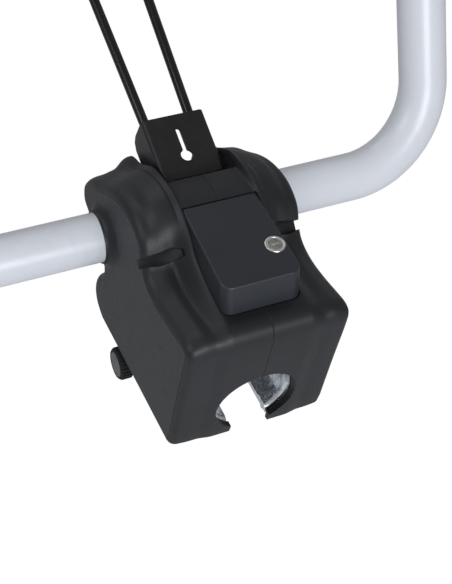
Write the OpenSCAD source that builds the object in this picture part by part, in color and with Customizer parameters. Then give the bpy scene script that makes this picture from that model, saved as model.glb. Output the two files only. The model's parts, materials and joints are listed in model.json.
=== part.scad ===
// Rear bike carrier that hangs on a tow ball: a coupling head, a bent tube mast and two folding arms.
// Origin: centre of the tow ball. X runs along the cross tube, +Y points away from the car, +Z is up.

/* [Tow ball and coupling housing] */
// Diameter of the tow ball that the jaws close on
ball_d = 50; // [48:0.5:51]
// Width of the coupling housing along X
housing_w = 114; // [110:1:122]
// Diameter of the round mouth in the housing's front face
mouth_d = 57; // [54:0.5:60]
// Width of the neck slot below the mouth
neck_slot_w = 28.5; // [24:0.5:30]
// Radius of the housing's side edges
edge_r = 5; // [3:0.5:6]
// Wall of the pocket and roof round the mechanism
shell_wall = 4; // [3:0.5:5]

/* [Lock] */
// Width of the raised lock cover
cover_w = 55.6; // [52:0.4:58]
// Outer diameter of the lock's bright ring
lock_d = 13.6; // [12:0.2:15]
// Travel of the lock bolt
bolt_travel = 10; // [8:0.5:10]

/* [Frame tube] */
// Outside diameter of the bent frame tube
tube_d = 35; // [32:0.5:36]
// Wall of the frame tube
tube_wall = 1.5; // [1.2:0.1:2.5]
// Distance between the two uprights, centre to centre
mast_w = 400; // [380:5:440]
// Bend radius of the frame tube at its centre line
bend_r = 64; // [55:1:75]
// Lean of the uprights away from the car, in degrees from plumb
mast_lean = 25; // [20:1:28]
// Height of the uprights, measured along them from the cross tube
mast_l = 860; // [760:10:1000]

/* [Lever] */
// Width of the steel lever bracket
bracket_w = 45; // [43:0.5:46]
// Sheet thickness of the lever bracket
bracket_t = 2.5; // [2:0.1:3]
// Visible length of the lever bracket's web
bracket_l = 46; // [42:1:50]
// Diameter of the lever's two rods
rod_d = 7; // [6:0.5:8]
// Length of the lever from its pivot to its grip
lever_l = 330; // [300:5:360]
// Rise of the lever above level at rest, in degrees
lever_rise = 22; // [20:1:24]

/* [Arms and cradles] */
// Length of each bike arm from its hinge
arm_l = 520; // [480:10:600]
// Outside diameter of the arm tubes
arm_d = 28; // [25:0.5:30]
// Wall of the arm tubes and of the cross bar
arm_wall = 1.5; // [1.2:0.1:2]
// Distance between the two arms, centre to centre
arm_gap = 290; // [280:5:300]
// Rise of the arms above level, in degrees
arm_rise = 8; // [4:1:12]
// Diameter of the cross bar between the uprights
bar_d = 30; // [28:0.5:32]
// Pitch of the bike cradles along an arm
cradle_pitch = 150; // [130:5:160]
// Number of cradles on each arm
cradle_n = 3; // [2:1:3]
// Radius of the seat that holds a bike's tube
cradle_r = 20; // [17:0.5:21]
// Width of a cradle along the bike's tube
cradle_w = 40; // [34:1:42]

/* [Hidden] */

black = [0.17, 0.18, 0.2];
cover_black = [0.2, 0.21, 0.23];
steel_black = [0.1, 0.1, 0.1];
zinc = [0.75, 0.76, 0.78];
silver = [0.82, 0.83, 0.87];
rubber = [0.12, 0.12, 0.12];

// Ball centre behind and above the housing's bottom front edge
ball_y = 36;
ball_z = 27;
// Running gap of a pin in its bore, and the gap between separate pieces
run_gap = 0.05;
seat_gap = 0.3;
// Far enough to cut right through
far = 400;

// Cross tube, lever pivot and lock, seen from the housing's bottom front edge
tube_y = 133;
tube_z = 73;
tube_r = tube_d / 2;
pivot_y = 125;
pivot_z = 105;
half_w = housing_w / 2;
plate_in = bracket_w / 2 + seat_gap;
plate_t = 3;
plate_out = plate_in + plate_t;
pocket_half = plate_out + seat_gap;

// Places seen from the housing's bottom front edge
module from_edge() { translate([0, -ball_y, -ball_z]) children(); }
module right_side() { children(); }
module left_side() { mirror([1, 0, 0]) children(); }
module both_sides() {
    right_side() children();
    left_side() children();
}
// A round bar or bore along X, centred on x
module along_x(r, l, fn = 48) { rotate([0, 90, 0]) cylinder(r = r, h = l, center = true, $fn = fn); }
// A plate drawn in the Y and Z plane, from x = a to x = b
module yz_plate(a, b) {
    translate([a, 0, 0])
        rotate([90, 0, 90])
            linear_extrude(b - a)
                children();
}

// HOUSING: two moulded halves
// Each outline is one closed side view: front face, roof, step, hood, hook over the tube, back, bottom.
function wall_line() = [
    [0, 0], [-4.8, 50], [-9.6, 90], [-10.4, 104], [-3, 108.5], [8, 106.6], [26, 102.6], [44, 100.4],
    [58, 102.5], [65, 108], [69.5, 121], [77, 131], [92, 134.5], [105, 133.5], [118, 130.6],
    [131, 125], [143, 115], [150, 111.5], [160, 110], [171, 97], [177.5, 81], [175, 69], [161, 64],
    [148, 54.5], [133, 47.5], [135.5, 33], [141, 20], [143, 5], [137, -6], [110, -4.4], [60, -2.6]
];
function ridge_line() = [
    [-0.8, 0], [-5.6, 50], [-10.4, 91], [-11.2, 106], [-3.6, 111.5], [8, 109.6], [26, 106], [44, 104],
    [58, 106.5], [65, 113], [69.5, 126], [79, 137.5], [94, 142.5], [110, 144.5], [125, 144.5],
    [137, 140], [145, 130], [151.5, 119], [160.5, 111], [171, 97], [177.5, 81], [175, 69],
    [161, 64], [148, 54.5], [133, 47.5], [135.5, 33], [141, 20], [143, 5], [137, -6], [110, -4.4],
    [60, -2.6]
];
function middle_line() = [
    [-2.4, 0], [-7.2, 50], [-12, 93], [-12.6, 108], [-5, 114.5], [8, 113.8], [26, 115.4],
    [44, 118.6], [55, 123], [63, 130], [71, 135.5], [82, 138.4], [93, 138.4], [104, 136.2],
    [115, 132.5], [126, 127], [138, 119], [148, 112], [160, 107], [171, 97], [177.5, 81], [175, 69],
    [161, 64], [148, 54.5], [133, 47.5], [135.5, 33], [141, 20], [143, 5], [137, -6], [110, -4.4],
    [60, -2.6]
];
// Stations across one half: from the seam over the hood's ridge to the side wall
stations = [-1, 10, 20, 25, 28, 31, 34, 38, 43, 48];
rim_steps = [0, 30, 60, 90];
rim_flat = 0.2;
function ease(t) = let (k = min(1, max(0, t))) k * k * (3 - 2 * k);
function middle_share(x) = 1 - ease((x - 27) / 12);
function wall_share(x) = ease((x - 43) / 13);
function blend_line(x) =
    let (m = middle_share(x), w = wall_share(x), c = middle_line(), r = ridge_line(), s = wall_line())
    [for (i = [0:len(c) - 1]) c[i] * m + r[i] * max(0, 1 - m - w) + s[i] * w];
// Cutting every corner at a quarter and three quarters of its sides rounds the outline
function soften(p) = let (n = len(p))
    [for (i = [0:n - 1], k = [0.25, 0.75]) p[i] * (1 - k) + p[(i + 1) % n] * k];
function unit(v) = v / max(norm(v), 0.001);
// Moves every point of a clockwise outline inwards by d
function shrink(p, d) = let (n = len(p))
    [for (i = [0:n - 1]) let (t = unit(p[(i + 1) % n] - p[(i + n - 1) % n])) p[i] + d * [t[1], -t[0]]];
function ring_at(x, d) = [for (q = shrink(soften(blend_line(x)), d)) [x, q[0], q[1]]];
function housing_rings() = let (x0 = half_w - edge_r - rim_flat) concat(
    [for (s = stations) if (s < x0 - 1) ring_at(s, 0)],
    [for (a = rim_steps) ring_at(x0 + edge_r * sin(a), edge_r * (1 - cos(a)))],
    [ring_at(half_w + 1, edge_r)]
);
module loft(rings) {
    n = len(rings[0]);
    m = len(rings);
    points = [for (r = rings) each r];
    sides = [for (j = [0:m - 2], i = [0:n - 1], k = [0, 1])
        let (a = j * n + i, b = j * n + (i + 1) % n, c = a + n, d = b + n) k == 0 ? [a, b, c] : [b, d, c]];
    first = [[for (i = [n - 1:-1:0]) i]];
    last = [[for (i = [0:n - 1]) (m - 1) * n + i]];
    polyhedron(points, concat(sides, first, last));
}
// The loft runs past the seam and the side wall, which are cut flat
module housing_body() {
    intersection() {
        loft(housing_rings());
        translate([0, -60, -60]) cube([half_w, 300, 300]);
    }
}

// Room for the ball and the jaws, open below
chamber_half = 45;
chamber_top = 92.5;
chamber_front = 7;
chamber_back = 66;
module ball_room() {
    translate([0, -30, ball_z]) rotate([-90, 0, 0]) cylinder(d = mouth_d, h = 60, $fn = 64);
    translate([-neck_slot_w / 2, -30, -40]) cube([neck_slot_w, 60, 40 + ball_z]);
    translate([-chamber_half, chamber_front, -40])
        cube([2 * chamber_half, chamber_back - chamber_front, 40 + chamber_top]);
}
// Room for the side plates, the draw bar and the lever
pocket_front = 109.5;
module works_room() {
    translate([-pocket_half, chamber_back - 1, -40]) cube([2 * pocket_half, 74, 40 + 50]);
    translate([-pocket_half, chamber_back - 1, 49]) cube([2 * pocket_half, 90, 47]);
    translate([-pocket_half, 84, 90]) cube([2 * pocket_half, 28, 22]);
    translate([-pocket_half, 98, 100]) cube([2 * pocket_half, 14, 25]);
    translate([-pocket_half, pocket_front - 2.5, 100]) cube([2 * pocket_half, 4, 29]);
    translate([-pocket_half, pocket_front, 92]) cube([2 * pocket_half, far, 60]);
    translate([-pocket_half, tube_y + 8, 60]) cube([2 * pocket_half, far, 60]);
    translate([0, pivot_y, pivot_z]) along_x(7, 2 * plate_out + 6.4);
}
// Side rooms that lighten the moulding, open below
module side_room() {
    translate([pocket_half + shell_wall, 71, -40])
        cube([half_w - pocket_half - 2 * shell_wall, 56, 40 + 46]);
}
// Vent slot under the hood's front lip: a lens that deepens towards the side wall
vent_lip = [[30, 49, 125], [38, 52, 120], [46, 57, 114], [62, 62, 108]];
vent_width = [0.4, 5, 7, 8];
vent_out = [0, -10, 16];
vent_up = [0, 0.72, 0.69];
module vent_slot() {
    n = len(vent_lip);
    points = [for (i = [0:n - 1]) let (q = vent_lip[i], w = vent_up * vent_width[i])
        each [q - vent_out * 0.35, q + vent_out, q + w + vent_out, q + w - vent_out * 0.35]];
    walls = [for (j = [0:n - 2], i = [0:3], k = [0, 1])
        let (a = 4 * j + i, b = 4 * j + (i + 1) % 4, c = a + 4, d = b + 4) k == 0 ? [a, b, c] : [b, d, c]];
    polyhedron(points, concat(walls, [[3, 2, 1, 0], [4 * n - 4, 4 * n - 3, 4 * n - 2, 4 * n - 1]]));
}

// Screws that hold the halves together, side view places
screw_places = [[14, 97], [87, 119], [134.5, 12]];
screw_d = 5;
screw_head_d = 8.4;
screw_head_x = half_w - 6;
module screw_holes() {
    for (p = screw_places) translate([0, p[0], p[1]]) {
        along_x(screw_d / 2 + run_gap, 2 * (half_w - 12), 24);
        translate([screw_head_x + 20, 0, 0]) along_x(screw_head_d / 2 + seat_gap, 40, 24);
        translate([(screw_head_x + half_w - 20) / 2, 0, 0]) along_x(screw_d / 2 + run_gap, 20, 24);
    }
}
bush_wall = 2;
module housing_half() {
    difference() {
        housing_body();
        ball_room();
        works_room();
        side_room();
        vent_slot();
        cover_seat();
        lock_guide();
        translate([0, tube_y, tube_z]) {
            along_x(tube_r + bush_wall + seat_gap, 2 * (half_w - 4), 72);
            along_x(tube_r + seat_gap, far, 72);
        }
    }
}
module housing_right() {
    color(black) from_edge() difference() {
        housing_half();
        screw_holes();
    }
}
module housing_left() {
    color(black) from_edge() difference() {
        mirror([1, 0, 0]) housing_half();
        screw_holes();
    }
}
module housing_screws() {
    color(zinc) from_edge() for (p = screw_places) translate([0, p[0], p[1]]) {
        translate([(screw_head_x - (half_w - 14)) / 2, 0, 0])
            along_x(screw_d / 2, screw_head_x + half_w - 14, 24);
        translate([screw_head_x + 1.5, 0, 0]) difference() {
            along_x(screw_head_d / 2, 3, 24);
            translate([1, 0, 0]) along_x(2, 2, 6);
        }
    }
}

// LOCK: a raised cover, its ring, the barrel and the bolt that enters the lever's keyhole
cover_front = 4.8;
cover_back = 81;
cover_top_front = 133.8;
cover_tilt = 3;
cover_lean = 5.4;
cover_corner = 7;
cover_wall = 3;
lock_x = 19;
lock_y = 35.3;
lock_z = cover_top_front + (lock_y - cover_front - cover_lean) * tan(cover_tilt);
// The cover's outer form: grow widens it for its seat, skin leaves room for the wall
module cover_form(grow, top, foot) {
    w = cover_w / 2 + grow;
    hull() for (s = [-1, 1]) {
        translate([s * (w - cover_corner), cover_front + cover_corner - grow, foot])
            cylinder(r = cover_corner, h = 1, $fn = 32);
        translate([s * (w - 0.4 - cover_corner), cover_front + cover_lean + cover_corner - grow,
            cover_top_front - 2.4 + top])
                cylinder(r1 = cover_corner, r2 = cover_corner - 1, h = 2.4, $fn = 32);
        translate([s * (w - 3.2), cover_back - 2 + grow, foot + 18]) cylinder(r = 2, h = 1, $fn = 16);
        translate([s * (w - 3.2), cover_back - 2 + grow, cover_top_front + 71 * tan(cover_tilt) - 1.6 + top])
            cylinder(r1 = 2, r2 = 1, h = 1.6, $fn = 16);
    }
}
cover_foot = 107;
module cover_seat() { cover_form(0.2, 30, cover_foot - 0.2); }
module at_lock() { translate([lock_x, lock_y, lock_z]) rotate([cover_tilt, 0, 0]) children(); }
module lock_cover() {
    color(cover_black) from_edge() difference() {
        cover_form(0, 0, cover_foot);
        translate([0, 0, -cover_wall]) cover_form(-cover_wall, 0, cover_foot - 3);
        at_lock() translate([0, 0, -12]) cylinder(d = lock_d + 2 * run_gap, h = 30, $fn = 48);
        translate([-bolt_half - seat_gap, cover_back - 20, bolt_z - seat_gap])
            cube([2 * (bolt_half + seat_gap), 40, bolt_t + 2 * seat_gap]);
    }
}
ring_wall = 1.4;
barrel_r = lock_d / 2 - ring_wall - run_gap;
module lock_bezel() {
    color(zinc) from_edge() at_lock() difference() {
        translate([0, 0, 0.1 - cover_wall]) cylinder(d = lock_d, h = cover_wall + 0.5, $fn = 48);
        translate([0, 0, -5]) cylinder(r = lock_d / 2 - ring_wall, h = 7, $fn = 48);
    }
}
// The bolt is a flat steel slide; a pin on the barrel drives its cross slot
bolt_z = 128;
bolt_t = 2;
bolt_half = 2.8;
bolt_tip = 108.9;
cam_r = bolt_travel / (2 * sin(45));
cam_pin_r = 2;
crank_top = cover_wall + 0.1;
crank_t = 1.4;
crank_pin_l = 2.6;
module lock_barrel() {
    color(zinc) from_edge() at_lock() {
        difference() {
            translate([0, 0, -crank_top - crank_t])
                cylinder(r = barrel_r, h = crank_top + crank_t + 0.3, $fn = 48);
            translate([0, 0, 0.3]) cube([1, 6, 4], center = true);
        }
        rotate([0, 0, -135]) translate([0, 0, -crank_top - crank_t]) {
            translate([0, -2.6, 0]) cube([cam_r, 5.2, crank_t]);
            translate([cam_r, 0, 0]) cylinder(r = 3, h = crank_t, $fn = 24);
            translate([cam_r, 0, -crank_pin_l]) cylinder(r = cam_pin_r, h = crank_pin_l + 0.5, $fn = 24);
        }
    }
}
module lock_bolt() {
    // The lock's axis leans with the cover, so the crank pin meets the bolt a little further back
    bolt_drop = lock_z - bolt_z - bolt_t / 2;
    slot_y = lock_y + bolt_drop * tan(cover_tilt) - cam_r * sin(45);
    slot_half = cam_pin_r + 0.35;
    color(zinc) from_edge() translate([0, 0, bolt_z]) linear_extrude(bolt_t) difference() {
        polygon([[-bolt_half, slot_y - 7], [lock_x, slot_y - 7], [lock_x, slot_y + 7],
            [bolt_half, slot_y + 12], [bolt_half, bolt_tip], [-bolt_half, bolt_tip]]);
        translate([lock_x - cam_r - slot_half, slot_y - slot_half]) square([cam_r - 3, 2 * slot_half]);
        translate([lock_x - cam_r - 1, slot_y - slot_half]) square([6, 2 * slot_half]);
    }
}
module lock_guide() {
    translate([-bolt_half - seat_gap, cover_back - 1, bolt_z - seat_gap])
        cube([2 * (bolt_half + seat_gap), 60, bolt_t + 2 * seat_gap]);
}

// CLAMP: side plates, top plate and ears of folded steel
ear_front = [12, 15];
ear_back = [58, 61];
ear_top = 91;
jaw_pivot_x = 27;
jaw_pivot_z = 70;
jaw_pin_d = 8;
socket_gap = 0.4;
socket_wall = 3;
plate_low = ball_z + ball_d / 2 + socket_gap + socket_wall;
adjust_y = 95;
adjust_z = -22;
adjust_d = 8;
lever_pin_d = 8;
bar_z = 86;
bar_slot_half = 5;
module plate_line() {
    difference() {
        union() {
            polygon([[ear_back[1], 56], [ear_back[1], 88], [92, 88], [108, 118], [118, 119.5], [132, 117],
                [139, 108], [152, 93], [157, 73], [150, 56], [141, 50], [120, 44], [106, -8],
                [adjust_y + 8, adjust_z - 2], [adjust_y - 8, adjust_z - 2], [82, -8], [78, 44]]);
            translate([adjust_y, adjust_z]) circle(r = 10, $fn = 48);
        }
        translate([adjust_y, adjust_z]) circle(d = adjust_d + 2 * run_gap, $fn = 32);
        translate([pivot_y, pivot_z]) circle(d = lever_pin_d + 2 * run_gap, $fn = 32);
        translate([tube_y, tube_z]) circle(r = tube_r, $fn = 72);
        translate([98, 30]) circle(r = 7, $fn = 32);
    }
}
module ear(y) {
    translate([0, y[1], 0]) rotate([90, 0, 0]) linear_extrude(y[1] - y[0]) difference() {
        polygon([[-35, 62], [-35, 76], [-22, ear_top], [22, ear_top], [35, 76], [35, 62],
            [22, plate_low], [-22, plate_low]]);
        for (s = [-1, 1])
            translate([s * jaw_pivot_x, jaw_pivot_z]) circle(d = jaw_pin_d + 2 * run_gap, $fn = 32);
        translate([-bar_slot_half - 0.5, bar_z - 6]) square([2 * bar_slot_half + 1, 30]);
    }
}
module clamp_frame() {
    color(zinc) from_edge() union() {
        both_sides() yz_plate(plate_in, plate_out) plate_line();
        ear(ear_front);
        ear(ear_back);
        translate([-19, ear_front[1] - 1, plate_low])
            cube([38, ear_back[0] - ear_front[1] + 2, plate_t]);
    }
}
module ball_socket() {
    color(zinc) from_edge() translate([0, ball_y, ball_z]) rotate_extrude($fn = 64) difference() {
        intersection() {
            circle(r = ball_d / 2 + socket_gap + socket_wall, $fn = 64);
            translate([0, 15]) square([40, plate_low - ball_z - 15]);
        }
        circle(r = ball_d / 2 + socket_gap, $fn = 64);
        translate([-60, -60]) square([60, 120]);
    }
}

// JAWS: two half cups on pins that close round the ball; they stand closed at rest
jaw_wall = 3.4;
jaw_in = ball_d / 2 + socket_gap;
jaw_out = jaw_in + jaw_wall;
jaw_front = ball_y - chamber_front - 0.6;
jaw_rim = 1.6;
hub_r = jaw_pin_d / 2 + 2.5;
hub_front = ear_front[1] + seat_gap;
hub_back = ear_back[0] - seat_gap;
tail_in = 22;
tail_y = 3;
jaw_slot = neck_slot_w / 2 + 0.4;
jaw_top = 13;
// Half outline of the cup, radius first, then the distance in front of the ball's centre
function cup_line(r, front, rim) = concat(
    [[r + rim, front], [r + rim, front - 2.4], [r, front - 4], [r, 0]],
    [for (a = [-15:-15:-75]) r * [cos(a), sin(a)]]
);
module jaw() {
    difference() {
        union() {
            intersection() {
                translate([0, ball_y, ball_z]) rotate([90, 0, 0]) rotate_extrude($fn = 72)
                    polygon(concat(cup_line(jaw_out, jaw_front, jaw_rim),
                        [for (i = [8:-1:3]) cup_line(jaw_in, jaw_front, 0)[i]], [[jaw_in, jaw_front]]));
                translate([jaw_slot, ball_y - 30, ball_z - 40]) cube([40, 62, 40 + jaw_top]);
            }
            translate([jaw_in + 0.6, ball_y - 9, ball_z + 4])
                cube([jaw_wall - 0.6, 18, jaw_pivot_z - ball_z - 4]);
            translate([jaw_pivot_x, hub_front, jaw_pivot_z]) rotate([-90, 0, 0])
                cylinder(r = hub_r, h = hub_back - hub_front, $fn = 48);
            translate([tail_in, ball_y - tail_y, jaw_pivot_z])
                cube([6, 2 * tail_y, bar_z + 3 - jaw_pivot_z]);
        }
        translate([jaw_pivot_x, 0, jaw_pivot_z]) rotate([-90, 0, 0])
            cylinder(d = jaw_pin_d + 2 * run_gap, h = far, $fn = 48);
    }
}
module jaw_right() { color(zinc) from_edge() jaw(); }
module jaw_left() { color(zinc) from_edge() mirror([1, 0, 0]) jaw(); }
module jaw_pins() {
    color(zinc) from_edge() both_sides() translate([jaw_pivot_x, ear_front[0] - 2, jaw_pivot_z])
        rotate([-90, 0, 0]) {
            cylinder(d = jaw_pin_d, h = ear_back[1] - ear_front[0] + 2 - seat_gap, $fn = 48);
            cylinder(d = jaw_pin_d + 4, h = 2, $fn = 48);
        }
}

// DRAW BAR: the lever pulls it back, and its wedge spreads the jaws' tails
link_r = 9.5;
link_pin_d = 6;
link_swing = 22;
link_y = pivot_y - link_r * sin(link_swing);
link_z = pivot_z - link_r * cos(link_swing);
draw_t = 2 * bar_slot_half - 2 * seat_gap;
// Eye for the link pin: wider than the pin, and longer by the pin's dip in mid swing
eye_r = link_pin_d / 2 + seat_gap;
eye_drop = 0.8;
eye_low = 5.3;
eye_high = 4.4;
wedge_front = 23;
wedge_back = 47;
wedge_slope = 0.33;
function wedge_half(y) = tail_in - seat_gap - wedge_slope * (ball_y + tail_y - y);
module draw_bar() {
    color(zinc) from_edge() {
        yz_plate(-draw_t / 2, draw_t / 2) difference() {
            polygon([[wedge_back - 1, bar_z - 3], [100, bar_z - 3], [108, link_z - eye_low],
                [link_y + 7, link_z - eye_low], [link_y + 7, link_z + eye_high],
                [link_y - 9, link_z + eye_high],
                [96, bar_z + 3], [wedge_back - 1, bar_z + 3]]);
            for (z = [link_z, link_z - eye_drop]) translate([link_y, z]) circle(r = eye_r, $fn = 32);
            translate([link_y - eye_r, link_z - eye_drop]) square([2 * eye_r, eye_drop]);
        }
        translate([0, 0, bar_z - 3]) linear_extrude(6) polygon([
            [-wedge_half(wedge_front), wedge_front], [wedge_half(wedge_front), wedge_front],
            [wedge_half(wedge_back), wedge_back], [-wedge_half(wedge_back), wedge_back]]);
    }
}
module link_pin() {
    color(zinc) from_edge() translate([0, link_y, link_z]) along_x(link_pin_d / 2, bracket_w - 0.4);
}

// LEVER: steel channel with a keyhole, a bent rod and a grip; drawn lying along +Y from its pivot
web_top = 23.3;
web_start = 1.6;
flange_depth = 30;
key_r = 4.3;
key_slot_w = 3.2;
key_s = 17;
rod_z = web_top - 12.4;
rod_x = bracket_w / 2 - bracket_t - rod_d / 2 - 0.1;
rod_splay = 1.6;
module at_lever() { translate([0, pivot_y, pivot_z]) rotate([lever_rise, 0, 0]) children(); }
module lever_bracket() {
    s_end = web_start + bracket_l;
    color(steel_black) from_edge() at_lever() union() {
        both_sides() yz_plate(bracket_w / 2 - bracket_t, bracket_w / 2) difference() {
            union() {
                polygon([[web_start, web_top - bracket_t], [-10, 8], [-10, -7],
                    [4, web_top - flange_depth], [s_end - 7, web_top - flange_depth],
                    [s_end - 2, web_top - flange_depth + 3], [s_end, web_top - flange_depth + 9],
                    [s_end, web_top - bracket_t]]);
                circle(r = 9.5, $fn = 48);
                rotate([0, 0, -lever_rise]) translate([-link_r * sin(link_swing), -link_r * cos(link_swing)])
                    circle(r = 4.6, $fn = 48);
            }
            circle(d = lever_pin_d + 2 * run_gap, $fn = 48);
            rotate([0, 0, -lever_rise]) translate([-link_r * sin(link_swing), -link_r * cos(link_swing)])
                circle(d = link_pin_d, $fn = 48);
        }
        translate([0, web_start, web_top - bracket_t]) linear_extrude(bracket_t) difference() {
            translate([-bracket_w / 2, 0]) square([bracket_w, bracket_l]);
            translate([0, key_s - web_start]) circle(r = key_r, $fn = 32);
            translate([-key_slot_w / 2, key_s - web_start]) square([key_slot_w, 19]);
            translate([0, key_s - web_start + 19]) circle(d = key_slot_w, $fn = 24);
            for (s = [-1, 1]) translate([s * bracket_w / 2, bracket_l]) rotate([0, 0, 45])
                square([4, 4], center = true);
        }
    }
}
bail_start = web_start + 14;
function leg_x(s) = rod_x + (s - web_start - bracket_l) * tan(rod_splay);
bail_r = 12;
leg_l = (lever_l - bail_r * (1 + sin(rod_splay)) - bail_start) / cos(rod_splay);
bail_corner = leg_x(bail_start) + leg_l * sin(rod_splay) - bail_r * cos(rod_splay);
// The bends are a hair thicker than the straights, which run a little way into them
bend_over = 0.03;
bend_lap = 0.4;
module lever_bail() {
    color(steel_black) from_edge() at_lever() translate([0, 0, rod_z]) {
        both_sides() translate([leg_x(bail_start), bail_start, 0]) rotate([-90, 0, 0])
            rotate([0, rod_splay, 0]) cylinder(d = rod_d, h = leg_l + bend_lap, $fn = 32);
        both_sides() translate([bail_corner, lever_l - bail_r, 0]) rotate([0, 0, -rod_splay])
            rotate_extrude(angle = 90 + rod_splay, $fn = 48)
                translate([bail_r, 0]) circle(r = rod_d / 2 + bend_over, $fn = 32);
        translate([0, lever_l, 0]) along_x(rod_d / 2, 2 * (bail_corner + bend_lap), 32);
    }
}
grip_r = 11;
module lever_grip() {
    color(rubber) from_edge() at_lever() translate([0, lever_l, rod_z]) rotate([0, 90, 0])
        rotate_extrude($fn = 48) {
            h = bail_corner - 0.5;
            polygon([[rod_d / 2, -h], [grip_r - 2, -h], [grip_r, -h + 2], [grip_r + 1, 0],
                [grip_r, h - 2], [grip_r - 2, h], [rod_d / 2, h]]);
        }
}
module lever_pin() {
    color(zinc) from_edge() translate([0, pivot_y, pivot_z]) {
        along_x(lever_pin_d / 2, 2 * plate_out + 5);
        both_sides() translate([plate_out + 1.5, 0, 0]) along_x(lever_pin_d / 2 + 2, 2.4);
    }
}

// ADJUSTER: a cross bolt in the lower lugs with a knurled knob on the left
knob_r = 12.2;
knob_w = 10;
knob_x = half_w + 2;
module adjuster_bolt() {
    color(zinc) from_edge() translate([0, adjust_y, adjust_z]) rotate([0, 90, 0])
        translate([0, 0, -knob_x + knob_w])
            cylinder(d = adjust_d, h = knob_x - knob_w + plate_out + 10, $fn = 48);
}
module adjuster_knob() {
    teeth = 24;
    color(rubber) from_edge() translate([-knob_x, adjust_y, adjust_z]) rotate([0, 90, 0]) {
        translate([0, 0, 2]) linear_extrude(knob_w - 2) polygon([for (i = [0:4 * teeth - 1])
            (knob_r - (i % 4 < 2 ? 0 : 0.9)) * [cos(i * 90 / teeth), sin(i * 90 / teeth)]]);
        cylinder(r1 = knob_r - 2.4, r2 = knob_r - 0.9, h = 2, $fn = 48);
        translate([0, 0, knob_w]) difference() {
            cylinder(r = 7, h = half_w + 2 - knob_w - plate_out - 1.2, $fn = 48);
            translate([0, 0, -1]) cylinder(d = adjust_d, h = 60, $fn = 48);
        }
    }
}
module adjuster_nut() {
    color(zinc) from_edge() translate([plate_out + 3.3, adjust_y, adjust_z]) difference() {
        along_x(7.5, 6.4, 6);
        along_x(adjust_d / 2 + run_gap, 10);
    }
}

// FRAME TUBE: one bent hoop through the housing
module tube_bush() {
    difference() {
        translate([(plate_out + half_w - 4) / 2 + 0.1, 0, 0])
            along_x(tube_r + bush_wall, half_w - 4 - plate_out - 0.6, 72);
        along_x(tube_r + run_gap, far, 72);
    }
}
module tube_bush_right() { color(rubber) from_edge() translate([0, tube_y, tube_z]) tube_bush(); }
module tube_bush_left() {
    color(rubber) from_edge() translate([0, tube_y, tube_z]) mirror([1, 0, 0]) tube_bush();
}
// The mast's own plane: X across, Z up along the lean
module at_mast() { translate([0, tube_y, tube_z]) rotate([-mast_lean, 0, 0]) children(); }
module tube_cut(r, wall, l) {
    difference() {
        cylinder(r = r, h = l, $fn = 72);
        translate([0, 0, -1]) cylinder(r = r - wall, h = l + 2, $fn = 72);
    }
}
module frame_tube() {
    straight = mast_w / 2 - bend_r;
    color(silver) from_edge() at_mast() {
        difference() {
            along_x(tube_r, 2 * straight, 72);
            along_x(tube_r - tube_wall, 2 * straight + 2, 72);
        }
        both_sides() translate([straight, 0, bend_r]) rotate([90, 0, 0]) rotate([0, 0, -90])
            rotate_extrude(angle = 90, $fn = 72) translate([bend_r, 0]) difference() {
                circle(r = tube_r, $fn = 72);
                circle(r = tube_r - tube_wall, $fn = 72);
            }
        both_sides() translate([mast_w / 2, 0, bend_r]) tube_cut(tube_r, tube_wall, mast_l - bend_r);
    }
}
cap_wall = 2;
module mast_caps() {
    color(rubber) from_edge() at_mast() both_sides() translate([mast_w / 2, 0, mast_l]) {
        cylinder(r1 = tube_r, r2 = tube_r - 2, h = 5, $fn = 72);
        translate([0, 0, -14]) cylinder(r = tube_r - tube_wall - 0.1, h = 14.5, $fn = 72);
    }
}
bar_up = mast_l - 45;
module cross_bar() {
    color(silver) from_edge() at_mast() translate([0, 0, bar_up]) difference() {
        along_x(bar_d / 2, mast_w, 72);
        along_x(bar_d / 2 - arm_wall, mast_w + 2, 72);
        both_sides() translate([mast_w / 2, 0, -40]) cylinder(r = tube_r, h = 80, $fn = 72);
    }
}

// ARMS: each hinges in two cheeks on the cross bar and is clamped by its hinge bolt and knob
hinge_reach = 44;
hinge_lift = 6;
cheek_t = 4;
hub_w = 36;
arm_hub_r = 17;
arm_pin_d = 10;
hinge_y = tube_y + bar_up * sin(mast_lean) + hinge_reach;
hinge_z = tube_z + bar_up * cos(mast_lean) + hinge_lift;
arm_x = arm_gap / 2;
module at_hinge() { translate([arm_x, hinge_y, hinge_z]) children(); }
module arm_hinge() {
    inner = hub_w / 2 + seat_gap;
    back_y = -hinge_reach;
    difference() {
        union() {
            for (s = [0, 1]) mirror([s, 0, 0]) yz_plate(inner, inner + cheek_t) {
                polygon([[back_y - 4, -hinge_lift - bar_d / 2 - 4],
                    [back_y - 4, -hinge_lift + bar_d / 2 + 4], [4, 15.5], [4, -15.5]]);
                circle(r = 16, $fn = 48);
                translate([back_y, -hinge_lift]) circle(r = bar_d / 2 + 5, $fn = 48);
            }
            translate([0, back_y, -hinge_lift]) along_x(bar_d / 2 + 5, 2 * inner + 1, 72);
        }
        translate([0, back_y, -hinge_lift]) along_x(bar_d / 2, far, 72);
        along_x(arm_pin_d / 2 + run_gap, far);
    }
}
module arm_hinge_right() { color(steel_black) from_edge() at_hinge() arm_hinge(); }
module arm_hinge_left() { color(steel_black) from_edge() mirror([1, 0, 0]) at_hinge() arm_hinge(); }
cheek_out = hub_w / 2 + seat_gap + cheek_t;
knob_bore = 13.4;
module arm_pin() {
    near = cheek_out + seat_gap + knob_bore - 0.2;
    nut_end = cheek_out + 11;
    translate([(nut_end - near) / 2, 0, 0]) along_x(arm_pin_d / 2, near + nut_end);
}
module arm_pin_right() { color(zinc) from_edge() at_hinge() arm_pin(); }
module arm_pin_left() { color(zinc) from_edge() mirror([1, 0, 0]) at_hinge() arm_pin(); }
star_r = 19;
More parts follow.
